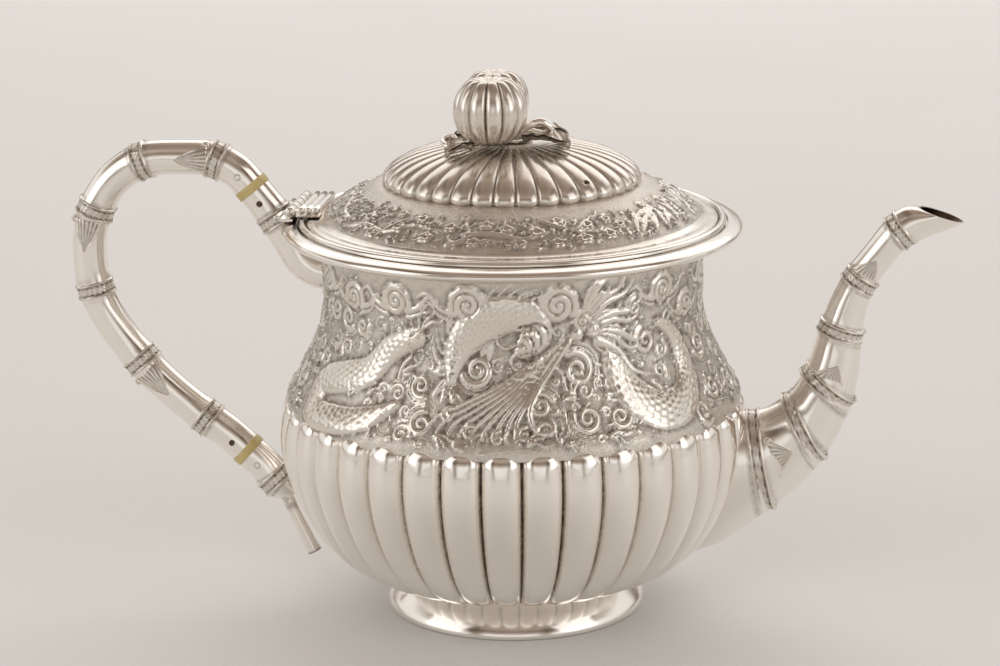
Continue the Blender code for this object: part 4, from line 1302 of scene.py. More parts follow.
        def place(column: np.ndarray, row: np.ndarray) -> Shape:
            """Points of the dome: outside from the rim to the top, then inside to the rim.

            Args:
                column: Whole numbers along the sheet's first direction.
                row: Whole numbers along its second direction.

            Returns:
                Points in millimetres, and values for each point.
            """
            angle = (column % columns) * math.tau / columns
            across = np.abs(2 * ((column % self.columns_per_lobe) / self.columns_per_lobe) - 1)
            outside = row <= rows
            last = row == rows + inner + 2
            share = np.clip(1 - (row - rows - 1) / inner, 0, 1)
            at = np.where(last, 0, np.where(outside, np.minimum(row, rows),
                                            np.round(rows * share).astype(int)))
            flat, height = flats[at], levels[at]
            near = flat / flats.max()
            low = np.clip((levels[0] + 2.4 - height) / 2.4, 0, 1)
            lobe = np.sqrt(np.clip(1 - across**2.2 - low**3, 0, 1))
            press = self.lobe_depth * np.clip((near - 0.16) / 0.3, 0, 1) * (0.35 + 0.65 * near) * (1 - lobe)
            lean = np.clip((height - levels[0]) / self.dome_height, 0, 1)
            flat = np.maximum(flat - press * (1 - lean), 0.0)
            height = height - 0.8 * press * lean
            flat = np.where(outside | last, flat, np.maximum(flat - self.wall, 0.0))
            height = np.where(outside | last, height, np.maximum(height - self.wall, levels[0]))
            points = about_axis(flat, angle, height)
            edge = (1 - across) * math.pi * flat / self.lobes
            dirt = 0.4 * np.exp(-((edge / 0.4) ** 1.3)) * np.clip((near - 0.3) / 0.3, 0, 1)
            rim = np.exp(-(((height - levels[0]) / 0.8) ** 2))
            return points, {"patina_and_shade": np.where(outside, np.clip(dirt + 0.5 * rim, 0, 1), 0.25)}

        obj = rolled("lobed_dome", columns, rows + inner + 2, place, 75.0)
        dress(obj, FINISHES.satin, Body.LID, "lid_dome")

    def build(self) -> None:
        """Make the lid's own pieces."""
        self.build_band()
        self.build_dome()
        turn = np.linspace(0, math.tau, 17)[:-1]
        wire = [(60.45 + 1.0 * math.cos(-a), 114.9 + 1.05 * math.sin(-a)) for a in turn]
        dress(turned("lid_edge_wire", wire, 288, 60.0), FINISHES.polished, Body.LID, "lid_edge_bead")
        collar = ((54.2, 114.2), (54.2, 108.7), (54.0, 108.2), (53.5, 108.0), (53.2, 108.3), (53.2, 114.2))
        dress(turned("lid_collar", collar, 192), FINISHES.polished, Body.LID, "lid_bezel")
        self.build_vent()

    def build_vent(self) -> None:
        """Make the eyelet of the steam vent in the dome's side, with a disc in it that is painted shade,
        near black.
        """
        tilt = math.radians(39)
        spot = np.array([34.6 * math.cos(math.pi / 4), -34.6 * math.sin(math.pi / 4), 130.6]) * MM
        deselect()
        bpy.ops.mesh.primitive_torus_add(major_radius=1.0 * MM, minor_radius=0.24 * MM,
                                         major_segments=32, minor_segments=10, location=spot,
                                         rotation=(0.0, math.pi / 2 - tilt, -math.pi / 4))
        eyelet = finished(bpy.context.object, "vent_eyelet")
        # No opening is cut: a thin disc painted near black stands in for the shade inside the vent.
        deselect()
        bpy.ops.mesh.primitive_cylinder_add(vertices=24, radius=0.9 * MM, depth=0.3 * MM, location=spot,
                                            rotation=(0.0, math.pi / 2 - tilt, -math.pi / 4))
        hole = finished(bpy.context.object, "vent_shade_disc")
        mark = hole.data.attributes.new("patina_and_shade", "FLOAT", "POINT")
        mark.data.foreach_set("value", np.full(len(hole.data.vertices), 2.0, np.float32))
        dress(joined("steam_vent", [hole, eyelet]), FINISHES.polished, Body.LID)


@dataclass
class Finial:
    """Two lobed melons with their vine and leaf, cast and soldered to a boss on the dome."""

    lobes: int = 12

    def melon(self, name: str, node: str) -> None:
        """Make one melon where its solid stands.

        Args:
            name: Name of the piece.
            node: The solid that it stands for.
        """
        low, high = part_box(node)
        centre = np.array([(low[i] + high[i]) / 2 for i in range(3)]) / MM
        wide = (high[0] - low[0]) / MM / 2
        tall = (high[2] - low[2]) / MM / 2
        columns, rows = self.lobes * 14, 56

        def place(column: np.ndarray, row: np.ndarray) -> Shape:
            """Points of a melon with deep furrows, a dimple on top and striations below.

            Args:
                column: Whole numbers along the sheet's first direction.
                row: Whole numbers along its second direction.

            Returns:
                Points in millimetres, and values for each point.
            """
            angle = (column % columns) * math.tau / columns
            across = 2 * ((column % 14) / 14) - 1
            turn = row / rows * math.pi
            lobe = np.sqrt(np.clip(1 - np.abs(across) ** 2.1, 0, 1))
            bulge = np.sin(turn) ** 0.86
            deep = 0.17 * (1 - lobe) * np.clip(np.sin(turn) * 1.6, 0, 1)
            stria = 0.006 * np.cos(angle * self.lobes * 5) * np.clip((turn - 1.9) / 0.7, 0, 1)
            flat = wide * bulge * (1 - deep + stria)
            dimple = 0.22 * tall * np.exp(-((np.sin(turn) / 0.30) ** 2)) * (np.cos(turn) > 0)
            dimple -= 0.03 * tall * lobe * np.exp(-(((np.sin(turn) - 0.5) / 0.22) ** 2)) * (np.cos(turn) > 0)
            level = tall * np.sign(np.cos(turn)) * np.abs(np.cos(turn)) ** 0.95 - dimple
            points = about_axis(flat, angle, level) + centre
            dirt = 0.5 * np.exp(-(((1 - np.abs(across)) * wide * np.sin(turn) * 0.26 / 0.35) ** 1.3))
            return points, {"patina_and_shade": np.clip(dirt, 0, 1) * np.clip(np.sin(turn) * 2, 0.3, 1)}

        dress(rolled(name, columns, rows, place, 75.0), FINISHES.satin, Body.LID, node)

    def leaf(self, name: str, start: Sequence[float], heading: float, length: float, width: float,
             *nodes: str) -> None:
        """Make a folded leaf with veins, curling down over the dome.

        Args:
            name: Name of the piece.
            start: Where its stalk ends.
            heading: Direction in degrees in plan.
            length: Length along the midrib.
            width: Half width.
            nodes: Solids that it stands for.
        """
        columns, rows = 40, 34
        angle = math.radians(heading)
        way = np.array([math.cos(angle), math.sin(angle), 0.0])
        side = np.array([-math.sin(angle), math.cos(angle), 0.0])

        def place(column: np.ndarray, row: np.ndarray) -> Shape:
            """Points of the leaf's top and, in the second half of the columns, its underside.

            Args:
                column: Whole numbers along the sheet's first direction.
                row: Whole numbers along its second direction.

            Returns:
                Points in millimetres, and values for each point.
            """
            half = columns // 2
            top = column <= half
            along = np.where(top, column, columns - column) / half
            across = 2 * row / rows - 1
            lobes = 1 + 0.16 * np.sin(along * 19) + 0.05 * np.sin(along * 41)
            reach = width * np.sin(math.pi * np.clip(along * 0.9 + 0.06, 0, 1)) ** 0.7 * lobes + 0.1
            veins = 0.16 * np.cos((along * 9 + np.abs(across) * 3.4) * math.pi)
            rise = 1.6 * np.sin(along * 2.6) - 2.6 * along**2 + 1.9 * np.abs(across) ** 1.3 + veins
            rise = np.where(top, rise, rise - 0.55)
            points = (np.asarray(start) + way * (along * length)[:, None] + side * (across * reach)[:, None]
                      + np.array([0.0, 0.0, 1.0]) * rise[:, None])
            return points, {"patina_and_shade": np.clip(0.2 + 0.7 * np.exp(-((across / 0.12) ** 2)) - veins, 0, 1)}

        dress(rolled(name, columns, rows, place, 60.0), FINISHES.satin, Body.LID, *nodes)

    def build(self) -> None:
        """Make the boss, melons, vine and leaves."""
        low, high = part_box("finial_boss")
        foot, head = low[2] / MM, high[2] / MM
        boss = ((0.0, head), (4.0, head), (5.4, foot + 2.2), (6.2, foot + 1.2), (6.3, foot + 0.3),
                (6.0, foot - 0.2), (0.0, foot - 0.2))
        dress(turned("finial_boss_turned", boss, 64), FINISHES.polished, Body.LID, "finial_boss")
        self.melon("melon_front", "finial_melon_front")
        self.melon("melon_back", "finial_melon_back")
        self.leaf("folded_leaf", (4.4, -7.2, foot + 0.9), -6, 13.6, 5.4, "finial_leaf")
        self.leaf("rear_leaf", (5.6, -1.0, foot + 1.6), 16, 11.0, 4.4)
        self.leaf("front_leaf", (-9.0, -13.0, foot - 0.6), 214, 8.5, 3.4)
        self.leaf("side_leaf", (-10.5, -3.0, foot - 0.4), 176, 8.0, 3.6)
        self.stems(foot)

    @staticmethod
    def stems(foot: float) -> None:
        """Make the vine's loop and its tendril.

        Args:
            foot: Height of the boss's foot.
        """
        loop = smooth([(2.0, -5.0, foot + 1.6), (6.4, -7.4, foot + 5.4), (10.0, -7.2, foot + 6.2),
                       (12.2, -6.0, foot + 4.0), (10.2, -5.2, foot + 2.6), (6.4, -4.6, foot + 3.0),
                       (2.4, -3.6, foot + 1.6)], 8)
        vine = swept("stem_loop", loop, np.linspace(1.3, 0.9, len(loop)), 20, rounded=1.0)
        dress(vine, FINISHES.polished, Body.LID, "finial_vine")
        curl = smooth([(-6.0, -9.0, foot + 1.0), (-12.4, -13.6, foot + 0.6), (-16.8, -13.0, foot + 0.2),
                       (-18.0, -10.0, foot + 1.4), (-15.6, -8.6, foot + 2.2), (-14.0, -10.6, foot + 1.6)], 8)
        tendril = swept("tendril", curl, np.linspace(1.1, 0.5, len(curl)), 16, rounded=1.0)
        dress(tendril, FINISHES.polished, Body.LID)


# ---------------------------------------------------------------- hinge


@dataclass
class Hinge:
    """Reeded hinge: half-round bars on the lid's leaf, five knuckles and a pin."""

    width: float = 24.0
    reed: float = 1.05
    knuckle: float = 1.5
    knuckles: int = 5
    gap: float = 0.12

    def bar(self, name: str, x: float, z: float, radius: float, span: Point) -> bpy.types.Object:
        """Make a bar along Y with softly rounded ends.

        Args:
            name: Name of the piece.
            x: Its axis along X.
            z: Height of its axis.
            radius: Its radius.
            span: Its two ends along Y.

        Returns:
            The bar.
        """
        path = np.array([(x, y, z) for y in np.linspace(span[0] + 0.1 * radius, span[1] - 0.1 * radius, 6)])
        columns = 28

        def place(column: np.ndarray, row: np.ndarray) -> Shape:
            """Points round the bar.

            Args:
                column: Whole numbers along the sheet's first direction.
                row: Whole numbers along its second direction.

            Returns:
                Points in millimetres, and values for each point.
            """
            ends = np.array([0.0, 0.9, *np.ones(6), 0.9, 0.0]) * radius
            at = np.array([span[0], span[0], *path[:, 1], span[1], span[1]])
            angle = (column % columns) * math.tau / columns
            points = np.column_stack([x + ends[row] * np.cos(angle), at[row], z + ends[row] * np.sin(angle)])
            # Painted shade: the lower half of each bar is darkened, most where it faces down.
            return points, {"patina_and_shade": 0.5 * np.clip(-np.sin(angle), 0, 1)}

        return rolled(name, columns, 9, place)

    def build(self) -> None:
        """Make both leaves and the pin."""
        low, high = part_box("hinge_pin")
        x, z = (low[0] + high[0]) / 2 / MM, (low[2] + high[2]) / 2 / MM
        half = self.width / 2
        pitch = self.width / self.knuckles
        spans = [(-half + i * pitch + self.gap / 2, -half + (i + 1) * pitch - self.gap / 2)
                 for i in range(self.knuckles)]
        lid_low, lid_high = (corner[2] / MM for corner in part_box("hinge_lid_leaf"))
        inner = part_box("hinge_lid_leaf")[1][0] / MM
        reeds = [self.bar("reed", inner - self.reed * (1 + 2 * i), lid_high - self.reed, self.reed,
                          (-half, half)) for i in range(3)]
        plate = block("leaf", (x + 1.6, -half + 0.3, lid_low + 0.2),
                      (inner - 0.2, half - 0.3, lid_high - self.reed), 0.15)
        knuckles = [self.bar("knuckle", x, z, self.knuckle, span) for span in spans[1::2]]
        webs = [block("web", (x + 0.9, a + 0.1, z - 1.3), (x + 2.6, b - 0.1, z - 0.2), 0.1)
                for a, b in spans[1::2]]
        leaf = joined("reeded_lid_leaf", [*reeds, plate, *knuckles, *webs])
        dress(leaf, FINISHES.polished, Body.LID, "hinge_lid_leaf")
        fixed_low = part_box("hinge_body_leaf")[0]
        base = fixed_low[2] / MM
        body = [self.bar("knuckle", x, z, self.knuckle, span) for span in spans[0::2]]
        body += [block("web", (x - 1.4, a + 0.1, base), (x, b - 0.1, z), 0.1) for a, b in spans[0::2]]
        body.append(block("leaf", (fixed_low[0] / MM, -half, base), (x + 0.8, half, base + 0.9), 0.2))
        body += [self.bar("reed", fixed_low[0] / MM + 1.0, base + 0.9, 0.95, (-half, half))]
        dress(joined("fixed_leaf", body), FINISHES.polished, Body.POT, "hinge_body_leaf")
        dress(self.bar("hinge_wire", x, z, 0.7, (-half, half)), FINISHES.polished, Body.POT, "hinge_pin")


# ---------------------------------------------------------------- bamboo


def node_ring(name: str, centre: np.ndarray, way: np.ndarray, wide: float, tall: float,
              length: float) -> Any:
    """Make the band at a bamboo node: two wires with a chased strip of small leaves between them.

    Args:
        name: Name of the piece.
        centre: Middle of the band.
        way: Direction of the stem there, in the XZ plane.
        wide: Outer half width along Y of the stem under it.
        tall: Half height of the stem under it, across its direction.
        length: Length along the stem.

    Returns:
        The band.
    """
    side = np.array([0.0, 1.0, 0.0])
    across = np.cross(side, way)
    columns, rows = 168, 26
    along = np.linspace(-0.5, 0.5, 21) * length
    rim = 0.5 * length - 0.45
    wires = np.sqrt(np.clip(1 - ((np.abs(along) - rim) / 0.45) ** 2, 0, 1)) * 0.62
    strip = 0.2 * (np.abs(along) < rim)
    heights = np.maximum(wires, strip) - 0.02

    def place(column: np.ndarray, row: np.ndarray) -> Shape:
        """Points of the band's outside and, in the last rows, its inside.

        Args:
            column: Whole numbers along the sheet's first direction.
            row: Whole numbers along its second direction.

        Returns:
            Points in millimetres, and values for each point.
        """
        angle = (column % columns) * math.tau / columns
        inner = row > 20
        at = np.where(inner, np.round(20 * (26 - row) / 5).astype(int), row)
        run = along[at]
        chevron = 0.07 * np.cos(angle * 21 + run * 2.4) * np.cos(run * 3.4) * (np.abs(run) < rim - 0.4)
        lift = np.where(inner, -0.6, heights[at] + chevron)
        lift = np.where((row == 0) | (row == 26), -0.3, lift)
        points = (centre + way * run[:, None] + across * ((tall + lift) * np.cos(angle))[:, None]
                  + side * ((wide + lift) * np.sin(angle))[:, None])
        shade = 0.5 * (np.abs(np.abs(run) - rim + 0.6) < 0.35) + 0.2 - 4 * chevron
        soil = np.clip(shade, 0, 1) * (np.abs(run) < rim)
        return points, {"patina_and_shade": soil, "ground": 0.0 * soil}

    return rolled(name, columns, rows, place, 60.0)


def leaf_scar(name: str, centre: np.ndarray, way: np.ndarray, wide: float, tall: float,
              length: float) -> Any:
    """Make the three-pointed leaf sheath above a node, bent round the side of the stem that faces -Y.

    Args:
        name: Name of the piece.
        centre: Middle of the sheath, on the stem's axis.
        way: Direction towards its point, in the XZ plane.
        wide: Half width of the stem along Y.
        tall: Half height of the stem across its direction.
        length: Half length of the sheath.

    Returns:
        The sheath.
    """
    side = np.array([0.0, 1.0, 0.0])
    across = np.cross(side, way)
    columns, rows = 44, 64
    half = columns // 2
    spread_angle = min(0.95, max(0.42, 5.6 / tall))

    def place(column: np.ndarray, row: np.ndarray) -> Shape:
        """Points of the sheath's face and, in the second half of the columns, its back.

        Args:
            column: Whole numbers along the sheet's first direction.
            row: Whole numbers along its second direction.

        Returns:
            Points in millimetres, and values for each point.
        """
        front = column <= half
        along = np.where(front, column, columns - column) / half
        over = 2 * row / rows - 1
        leaf = spread_angle * ((1 - along) ** 1.25 + 0.16 * np.sin(math.pi * along) + 0.015)
        arc = over * leaf
        veins = np.cos(over * 24) * np.clip(1 - 1.2 * along, 0, 1)
        ridge = np.exp(-(((np.abs(over) - 0.90) / 0.09) ** 2))
        lift = np.where(front, 0.20 + 0.05 * veins + 0.20 * np.clip(ridge, 0, 1), -0.25)
        lift = np.where((row == 0) | (row == rows) | (along <= 0) | (along >= 1), -0.25, lift)
        up = across * ((tall + lift) * np.sin(arc))[:, None]
        out = side * ((wide + lift) * np.cos(arc))[:, None]
        points = centre + way * ((2 * along - 1) * length)[:, None] + up - out
        return points, {"patina_and_shade": np.clip(0.3 - 0.5 * veins - ridge, 0, 1)}

    shells = [rolled(name, columns, rows, place, 60.0)]
    for turn in (-0.95 * spread_angle, 0.95 * spread_angle):
        up, out = across * (tall * math.sin(turn)), side * (wide * math.cos(turn))
        spot = centre - way * (0.86 * length) + up - out
        shells.append(curl_bead(spot, min(1.15, 0.115 * (wide + tall))))
    return joined(name, shells)


def curl_bead(spot: np.ndarray, radius: float) -> bpy.types.Object:
    """Make the small coiled bud at a sheath's corner.

    Args:
        spot: Its middle.
        radius: Its radius.

    Returns:
        A bead with a ring round it.
    """
    deselect()
    bpy.ops.mesh.primitive_uv_sphere_add(segments=20, ring_count=12, radius=0.55 * radius * MM,
                                         location=spot * MM)
    bead = finished(bpy.context.object, "bead")
    deselect()
    bpy.ops.mesh.primitive_torus_add(major_radius=0.8 * radius * MM, minor_radius=0.27 * radius * MM,
                                     major_segments=28, minor_segments=10, location=spot * MM,
                                     rotation=(math.pi / 2, 0.0, 0.0))
    return joined("bud", [bead, finished(bpy.context.object, "ring")])


@dataclass
class Handle:
    """Bamboo handle: sockets, ivory insulators, pinned grip, eight node bands and a free twig."""

    radius: float = 5.2
    swelling: float = 0.38
    upper_disc: Sequence[float] = (-76.2, 0.0, 122.3)
    lower_disc: Sequence[float] = (-80.0, 0.0, 42.6)
    upper_tilt: float = 129.0
    lower_tilt: float = -42.2
    nodes: Sequence[Point] = ((-86.4, 130.0), (-108.6, 129.6), (-123.3, 115.0), (-124.5, 91.0),
                              (-111.3, 69.5), (-92.1, 52.2))
    ring_length: float = 4.6
    sheathed: Sequence[int] = (0, 2, 4)
    sheath_offset: float = 6.7
    disc_half: float = 1.35
    disc_radius: float = 5.30

    def ends(self) -> tuple[np.ndarray, np.ndarray, np.ndarray, np.ndarray]:
        """Centres of the discs and the directions in which the grip leaves them.

        Returns:
            The upper disc's centre and direction, then the lower disc's.
        """
        return (np.array(self.upper_disc), leaning(self.upper_tilt),
                np.array(self.lower_disc), -leaning(self.lower_tilt))

    def stem(self, name: str, path: np.ndarray, bands: Sequence[np.ndarray], node: str,
             taper: int = 0) -> None:
        """Make a length of bamboo, swollen at its bands.

        Args:
            name: Name of the piece.
            path: Points along it.
            bands: Middles of its bands.
            node: The solid that it stands for.
            taper: Points at its end over which it narrows.
        """
        near = np.full(len(path), 99.0)
        for band in bands:
            near = np.minimum(near, np.linalg.norm(path - band, axis=1))
        radii = self.radius - 0.15 + self.swelling * np.exp(-((near / 3.4) ** 2))
        if taper:
            radii[-taper:] *= np.linspace(1.0, 0.45, taper)
        soil = 0.5 * np.exp(-(((near - 2.5) / 0.45) ** 2))
        dress(swept(name, path, radii, 56, marks={"patina_and_shade": soil}), FINISHES.polished, Body.POT, node)

    def rings(self, path: np.ndarray, bands: Sequence[np.ndarray], first: int) -> None:
        """Make the band at each node of a path.

        Args:
            path: Points along the bamboo.
            bands: Middles of its bands.
            first: Number of the first band.
        """
        for number, band in enumerate(bands, start=first):
            at = int(np.clip(np.argmin(np.linalg.norm(path - band, axis=1)), 1, len(path) - 2))
            way = path[at + 1] - path[at - 1]
            way /= np.linalg.norm(way)
            ring = node_ring(f"handle_band_{number}", path[at], way, self.radius + 0.1,
                             self.radius + 0.1, self.ring_length)
            dress(ring, FINISHES.chased, Body.POT, f"handle_node_ring_{number}")

    def build(self) -> None:
        """Make the whole handle."""
        upper, upper_way, lower, lower_way = self.ends()
        start, reach = 1.3, 7.0
        spots = [np.array([x, 0.0, z]) for x, z in self.nodes]
        grip = smooth([upper + upper_way * start, (-80.2, 0.0, 126.7), spots[0], (-97.5, 0.0, 130.9),
                       spots[1], (-117.4, 0.0, 124.0), *spots[2:], lower + lower_way * reach,
                       lower + lower_way * start], 16)
        self.stem("bamboo_grip", grip, spots, "handle_grip")
        self.rings(grip, spots, 2)
        first = np.array([-69.3, 0.0, 113.4])
        top = smooth([upper - upper_way * start, upper - upper_way * 6.0, first, (-65.4, 0.0, 106.6),
                      (-61.8, 0.0, 100.8), (-57.4, 0.0, 98.0), (-53.9, 0.0, 97.4)], 14)
        self.stem("upper_stem", top, [first], "handle_upper_socket")
        self.rings(top, [first], 1)
        last = np.array([-71.8, 0.0, 34.0])
        low = smooth([lower - lower_way * start, lower - lower_way * reach, last, (-68.6, 0.0, 31.2),
                      (-66.0, 0.0, 29.8)], 14)
        self.stem("lower_stem", low, [last], "handle_lower_socket", taper=22)
        self.rings(low, [last], 8)
        self.disc("ivory_upper", upper, upper_way, "insulator_upper")
        self.disc("ivory_lower", lower, lower_way, "insulator_lower")
        self.pins(upper, upper_way, lower, lower_way)
        self.twig()
        self.scars(grip, spots)

    def disc(self, name: str, centre: np.ndarray, way: np.ndarray, node: str) -> None:
        """Turn one ivory disc, its edge softly rounded.

        Args:
            name: Name of the piece.
            centre: Its middle.
            way: Direction of the bamboo there.
            node: The solid that it stands for.
        """
        steps = np.linspace(-self.disc_half, self.disc_half, 9)
        radii = self.disc_radius - 0.2 * np.abs(steps / self.disc_half) ** 8
        path = centre + way * steps[:, None]
        dress(swept(name, path, radii, 56), FINISHES.ivory, Body.POT, node)

    @staticmethod
    def pins(upper: np.ndarray, upper_way: np.ndarray, lower: np.ndarray, lower_way: np.ndarray) -> None:
        """Make the four pins that hold the ivory's spigots.

        Args:
            upper: Centre of the upper disc.
            upper_way: Direction of the bamboo there.
            lower: Centre of the lower disc.
            lower_way: Direction of the bamboo there.
        """
        spots = [(centre + way * (5.0 * side), side * sign) for centre, way, sign in
                 ((upper, upper_way, -1), (lower, lower_way, 1)) for side in (1, -1)]
        for number, (middle, sunk) in enumerate(spots, start=1):
            pin = rivet(f"handle_pin_{number}", middle, 0.95, 5.14, sunk > 0)
            dress(pin, FINISHES.polished, Body.POT, f"insulator_pin_{number}")

    @staticmethod
    def twig() -> None:
        """Make the slim stem that grows from the lower socket and hangs free."""
        low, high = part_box("handle_twig")
        knots = [(-70.6, 0.0, 31.6), (-68.2, 0.0, 27.4), (-65.0, 0.0, 20.6),
                 (high[0] / MM - 2.3, 0.0, low[2] / MM + 1.4)]
        path = smooth(knots, 12)
        share = np.linspace(0, 1, len(path))
        radii = 1.45 + 0.75 * share + 0.3 * np.exp(-(((share - 0.35) / 0.05) ** 2))
        soil = np.where(share > 0.985, 0.9, 0.5 * np.exp(-(((share - 0.42) / 0.05) ** 2)))
        twig = swept("free_twig", path, radii, 32, marks={"patina_and_shade": soil})
        sprout = leaf_scar("sprout", np.array([-69.4, 0.0, 29.6]), np.array([0.45, 0.0, -0.893]), 2.6,
                           2.4, 3.4)
        dress(joined("free_twig", [twig, sprout]), FINISHES.polished, Body.POT, "handle_twig")

    def scars(self, grip: np.ndarray, spots: Sequence[np.ndarray]) -> None:
        """Make the leaf sheaths beside the bands.

        Args:
            grip: Points along the grip.
            spots: Middles of its bands.
        """
        for number, band in enumerate(self.sheathed, start=1):
            at = int(np.argmin(np.linalg.norm(grip - spots[band], axis=1)))
            run = 0.0
            while run < self.sheath_offset:
                run += float(np.linalg.norm(grip[at + 1] - grip[at]))
                at += 1
            way = grip[at + 1] - grip[at - 1]
            way /= np.linalg.norm(way)
            scar = leaf_scar(f"handle_sheath_{number}", grip[at], way, self.radius, self.radius, 5.0)
            dress(scar, FINISHES.chased, Body.POT, f"handle_leaf_{number}")


def rivet(name: str, middle: np.ndarray, radius: float, reach: float, sunk: bool) -> bpy.types.Object:
    """Make a pin along Y, filed nearly flush at both ends.

    Args:
        name: Name of the piece.
        middle: Its middle.
        radius: Its radius.
        reach: Half its length.
        sunk: True if its ends are painted near black, as painted shade for a pin sunk in the stem.

    Returns:
        The pin.
    """
    rings = np.array([0.0, 0.5, 0.8, 1.0, 1.0, 0.8, 0.5, 0.0]) * radius
    ends = np.array([-1.0, -1.0, -1.0, -0.985, 0.985, 1.0, 1.0, 1.0]) * reach
    # Painted shade: a sunk pin's end face is darkened nearly black; an unsunk pin gets only a dark ring
    # where it meets the bamboo.
    dark = np.array([1.6, 1.6, 1.2, 0.9]) if sunk else np.array([0.0, 0.0, 0.2, 1.4])
    soil = np.concatenate([dark, dark[::-1]])

    def place(column: np.ndarray, row: np.ndarray) -> Shape:
        """Points of the pin.

        Args:
            column: Whole numbers along the sheet's first direction.
            row: Whole numbers along its second direction.

        Returns:
            Points in millimetres, and values for each point.
        """
        angle = (column % 24) * math.tau / 24
        points = middle + np.column_stack([rings[row] * np.cos(angle), ends[row],
                                           rings[row] * np.sin(angle)])
        return points, {"patina_and_shade": soil[row]}

    return rolled(name, 24, 7, place)


@dataclass
class Spout:
    """Hollow bamboo spout that rises from the bowl to a beak, with six node bands and three leaf sheaths."""

    stations: Sequence[tuple[float, float, float, float, float]] = (
        (45.0, 33.5, -4.0, 17.5, 9.5),
        (58.0, 39.2, 0.0, 21.2, 11.8),
        (72.3, 44.7, 10.5, 14.6, 11.2),
        (79.4, 49.6, 20.0, 12.5, 10.4),
        (84.6, 55.1, 28.0, 10.9, 9.8),
        (91.2, 67.7, 51.0, 8.6, 8.5),
        (93.4, 76.2, 64.0, 7.4, 7.4),
        (94.6, 84.2, 72.0, 6.2, 6.3),
        (96.7, 91.8, 65.0, 5.5, 5.6),
        (99.7, 98.9, 56.5, 4.8, 5.0),
        (104.6, 106.0, 49.0, 4.6, 4.7),
        (110.7, 113.5, 38.0, 5.0, 5.0),
        (122.0, 118.4, 72.6, 6.9, 5.0),
    )
    bands: Sequence[int] = (2, 4, 5, 7, 9, 11)
    sheaths: Sequence[float] = (2.9, 5.62, 9.55)
    ring_gap: float = 0.2
    ring_length: float = 4.2
    sheath_length: float = 3.2
    per_span: int = 12
    wall: float = 0.9
    columns: int = 72

    def tube(self, rows: np.ndarray) -> None:
        """Make the hollow tube, swollen at its bands.

        Args:
            rows: Place, tilt, half height and half width at each step along it.
        """
        run = np.concatenate([[0.0], np.cumsum(np.hypot(*np.diff(rows[:, :2], axis=0).T))])
        near = np.min([np.abs(run - run[band * self.per_span]) for band in self.bands], axis=0)
        swell = 0.3 * np.exp(-((near / 2.4) ** 2))
        soil = 0.5 * np.exp(-(((near - 2.4) / 0.35) ** 2))
        centre = np.column_stack([rows[:, 0], 0 * rows[:, 0], rows[:, 1]])
        angle = np.radians(rows[:, 2])
        way = np.column_stack([np.cos(angle), 0 * angle, np.sin(angle)])
        across = np.column_stack([way[:, 2], 0 * angle, -way[:, 0]])
        side = np.array([0.0, 1.0, 0.0])
        order = np.concatenate([np.arange(len(rows)), np.arange(len(rows) - 1, -1, -3), [0]])
        inside = np.concatenate([np.zeros(len(rows)), np.ones(len(order) - len(rows) - 1), [0.0]])

        def place(column: np.ndarray, row: np.ndarray) -> Shape:
            """Points of the tube: outside to the beak, then back inside.

            Args:
                column: Whole numbers along the sheet's first direction.
                row: Whole numbers along its second direction.

            Returns:
                Points in millimetres, and values for each point.
            """
            index = order[row]
            turn = (column % self.columns) * math.tau / self.columns
            less = inside[row] * (self.wall + swell[index])
            tall = (rows[index, 3] + swell[index] - less) * np.cos(turn)
            wide = (rows[index, 4] + swell[index] - less) * np.sin(turn)
            points = centre[index] + across[index] * tall[:, None] + side * wide[:, None]
            # Painted shade: the inside of the tube is darkened at full strength so the bore reads dark at
            # the beak; outside, the value is oxide beside each band.
            return points, {"patina_and_shade": np.where(inside[row] > 0, 1.3, soil[index])}

        tube = rolled("bamboo_spout", self.columns, len(order) - 1, place, 60.0)
        dress(tube, FINISHES.polished, Body.POT, "spout_tube")

    def build(self) -> None:
        """Make the tube, bands and sheaths."""
        rows = smooth(self.stations, self.per_span, 2)
        self.tube(rows)
        for number, band in enumerate(self.bands, start=1):
            x, z, tilt, tall, wide = self.stations[band]
            ring = node_ring(f"spout_band_{number}", np.array([x, 0.0, z]), leaning(tilt),
                             wide + self.ring_gap, tall + self.ring_gap, self.ring_length)
            dress(ring, FINISHES.chased, Body.POT, f"spout_node_ring_{number}")
        for number, station in enumerate(self.sheaths, start=1):
            x, z, tilt, tall, wide = rows[round(station * self.per_span)]
            scar = leaf_scar(f"spout_sheath_{number}", np.array([x, 0.0, z]), leaning(tilt),
                             wide, tall, self.sheath_length)
            dress(scar, FINISHES.chased, Body.POT, f"spout_leaf_{number}")


# ---------------------------------------------------------------- studio


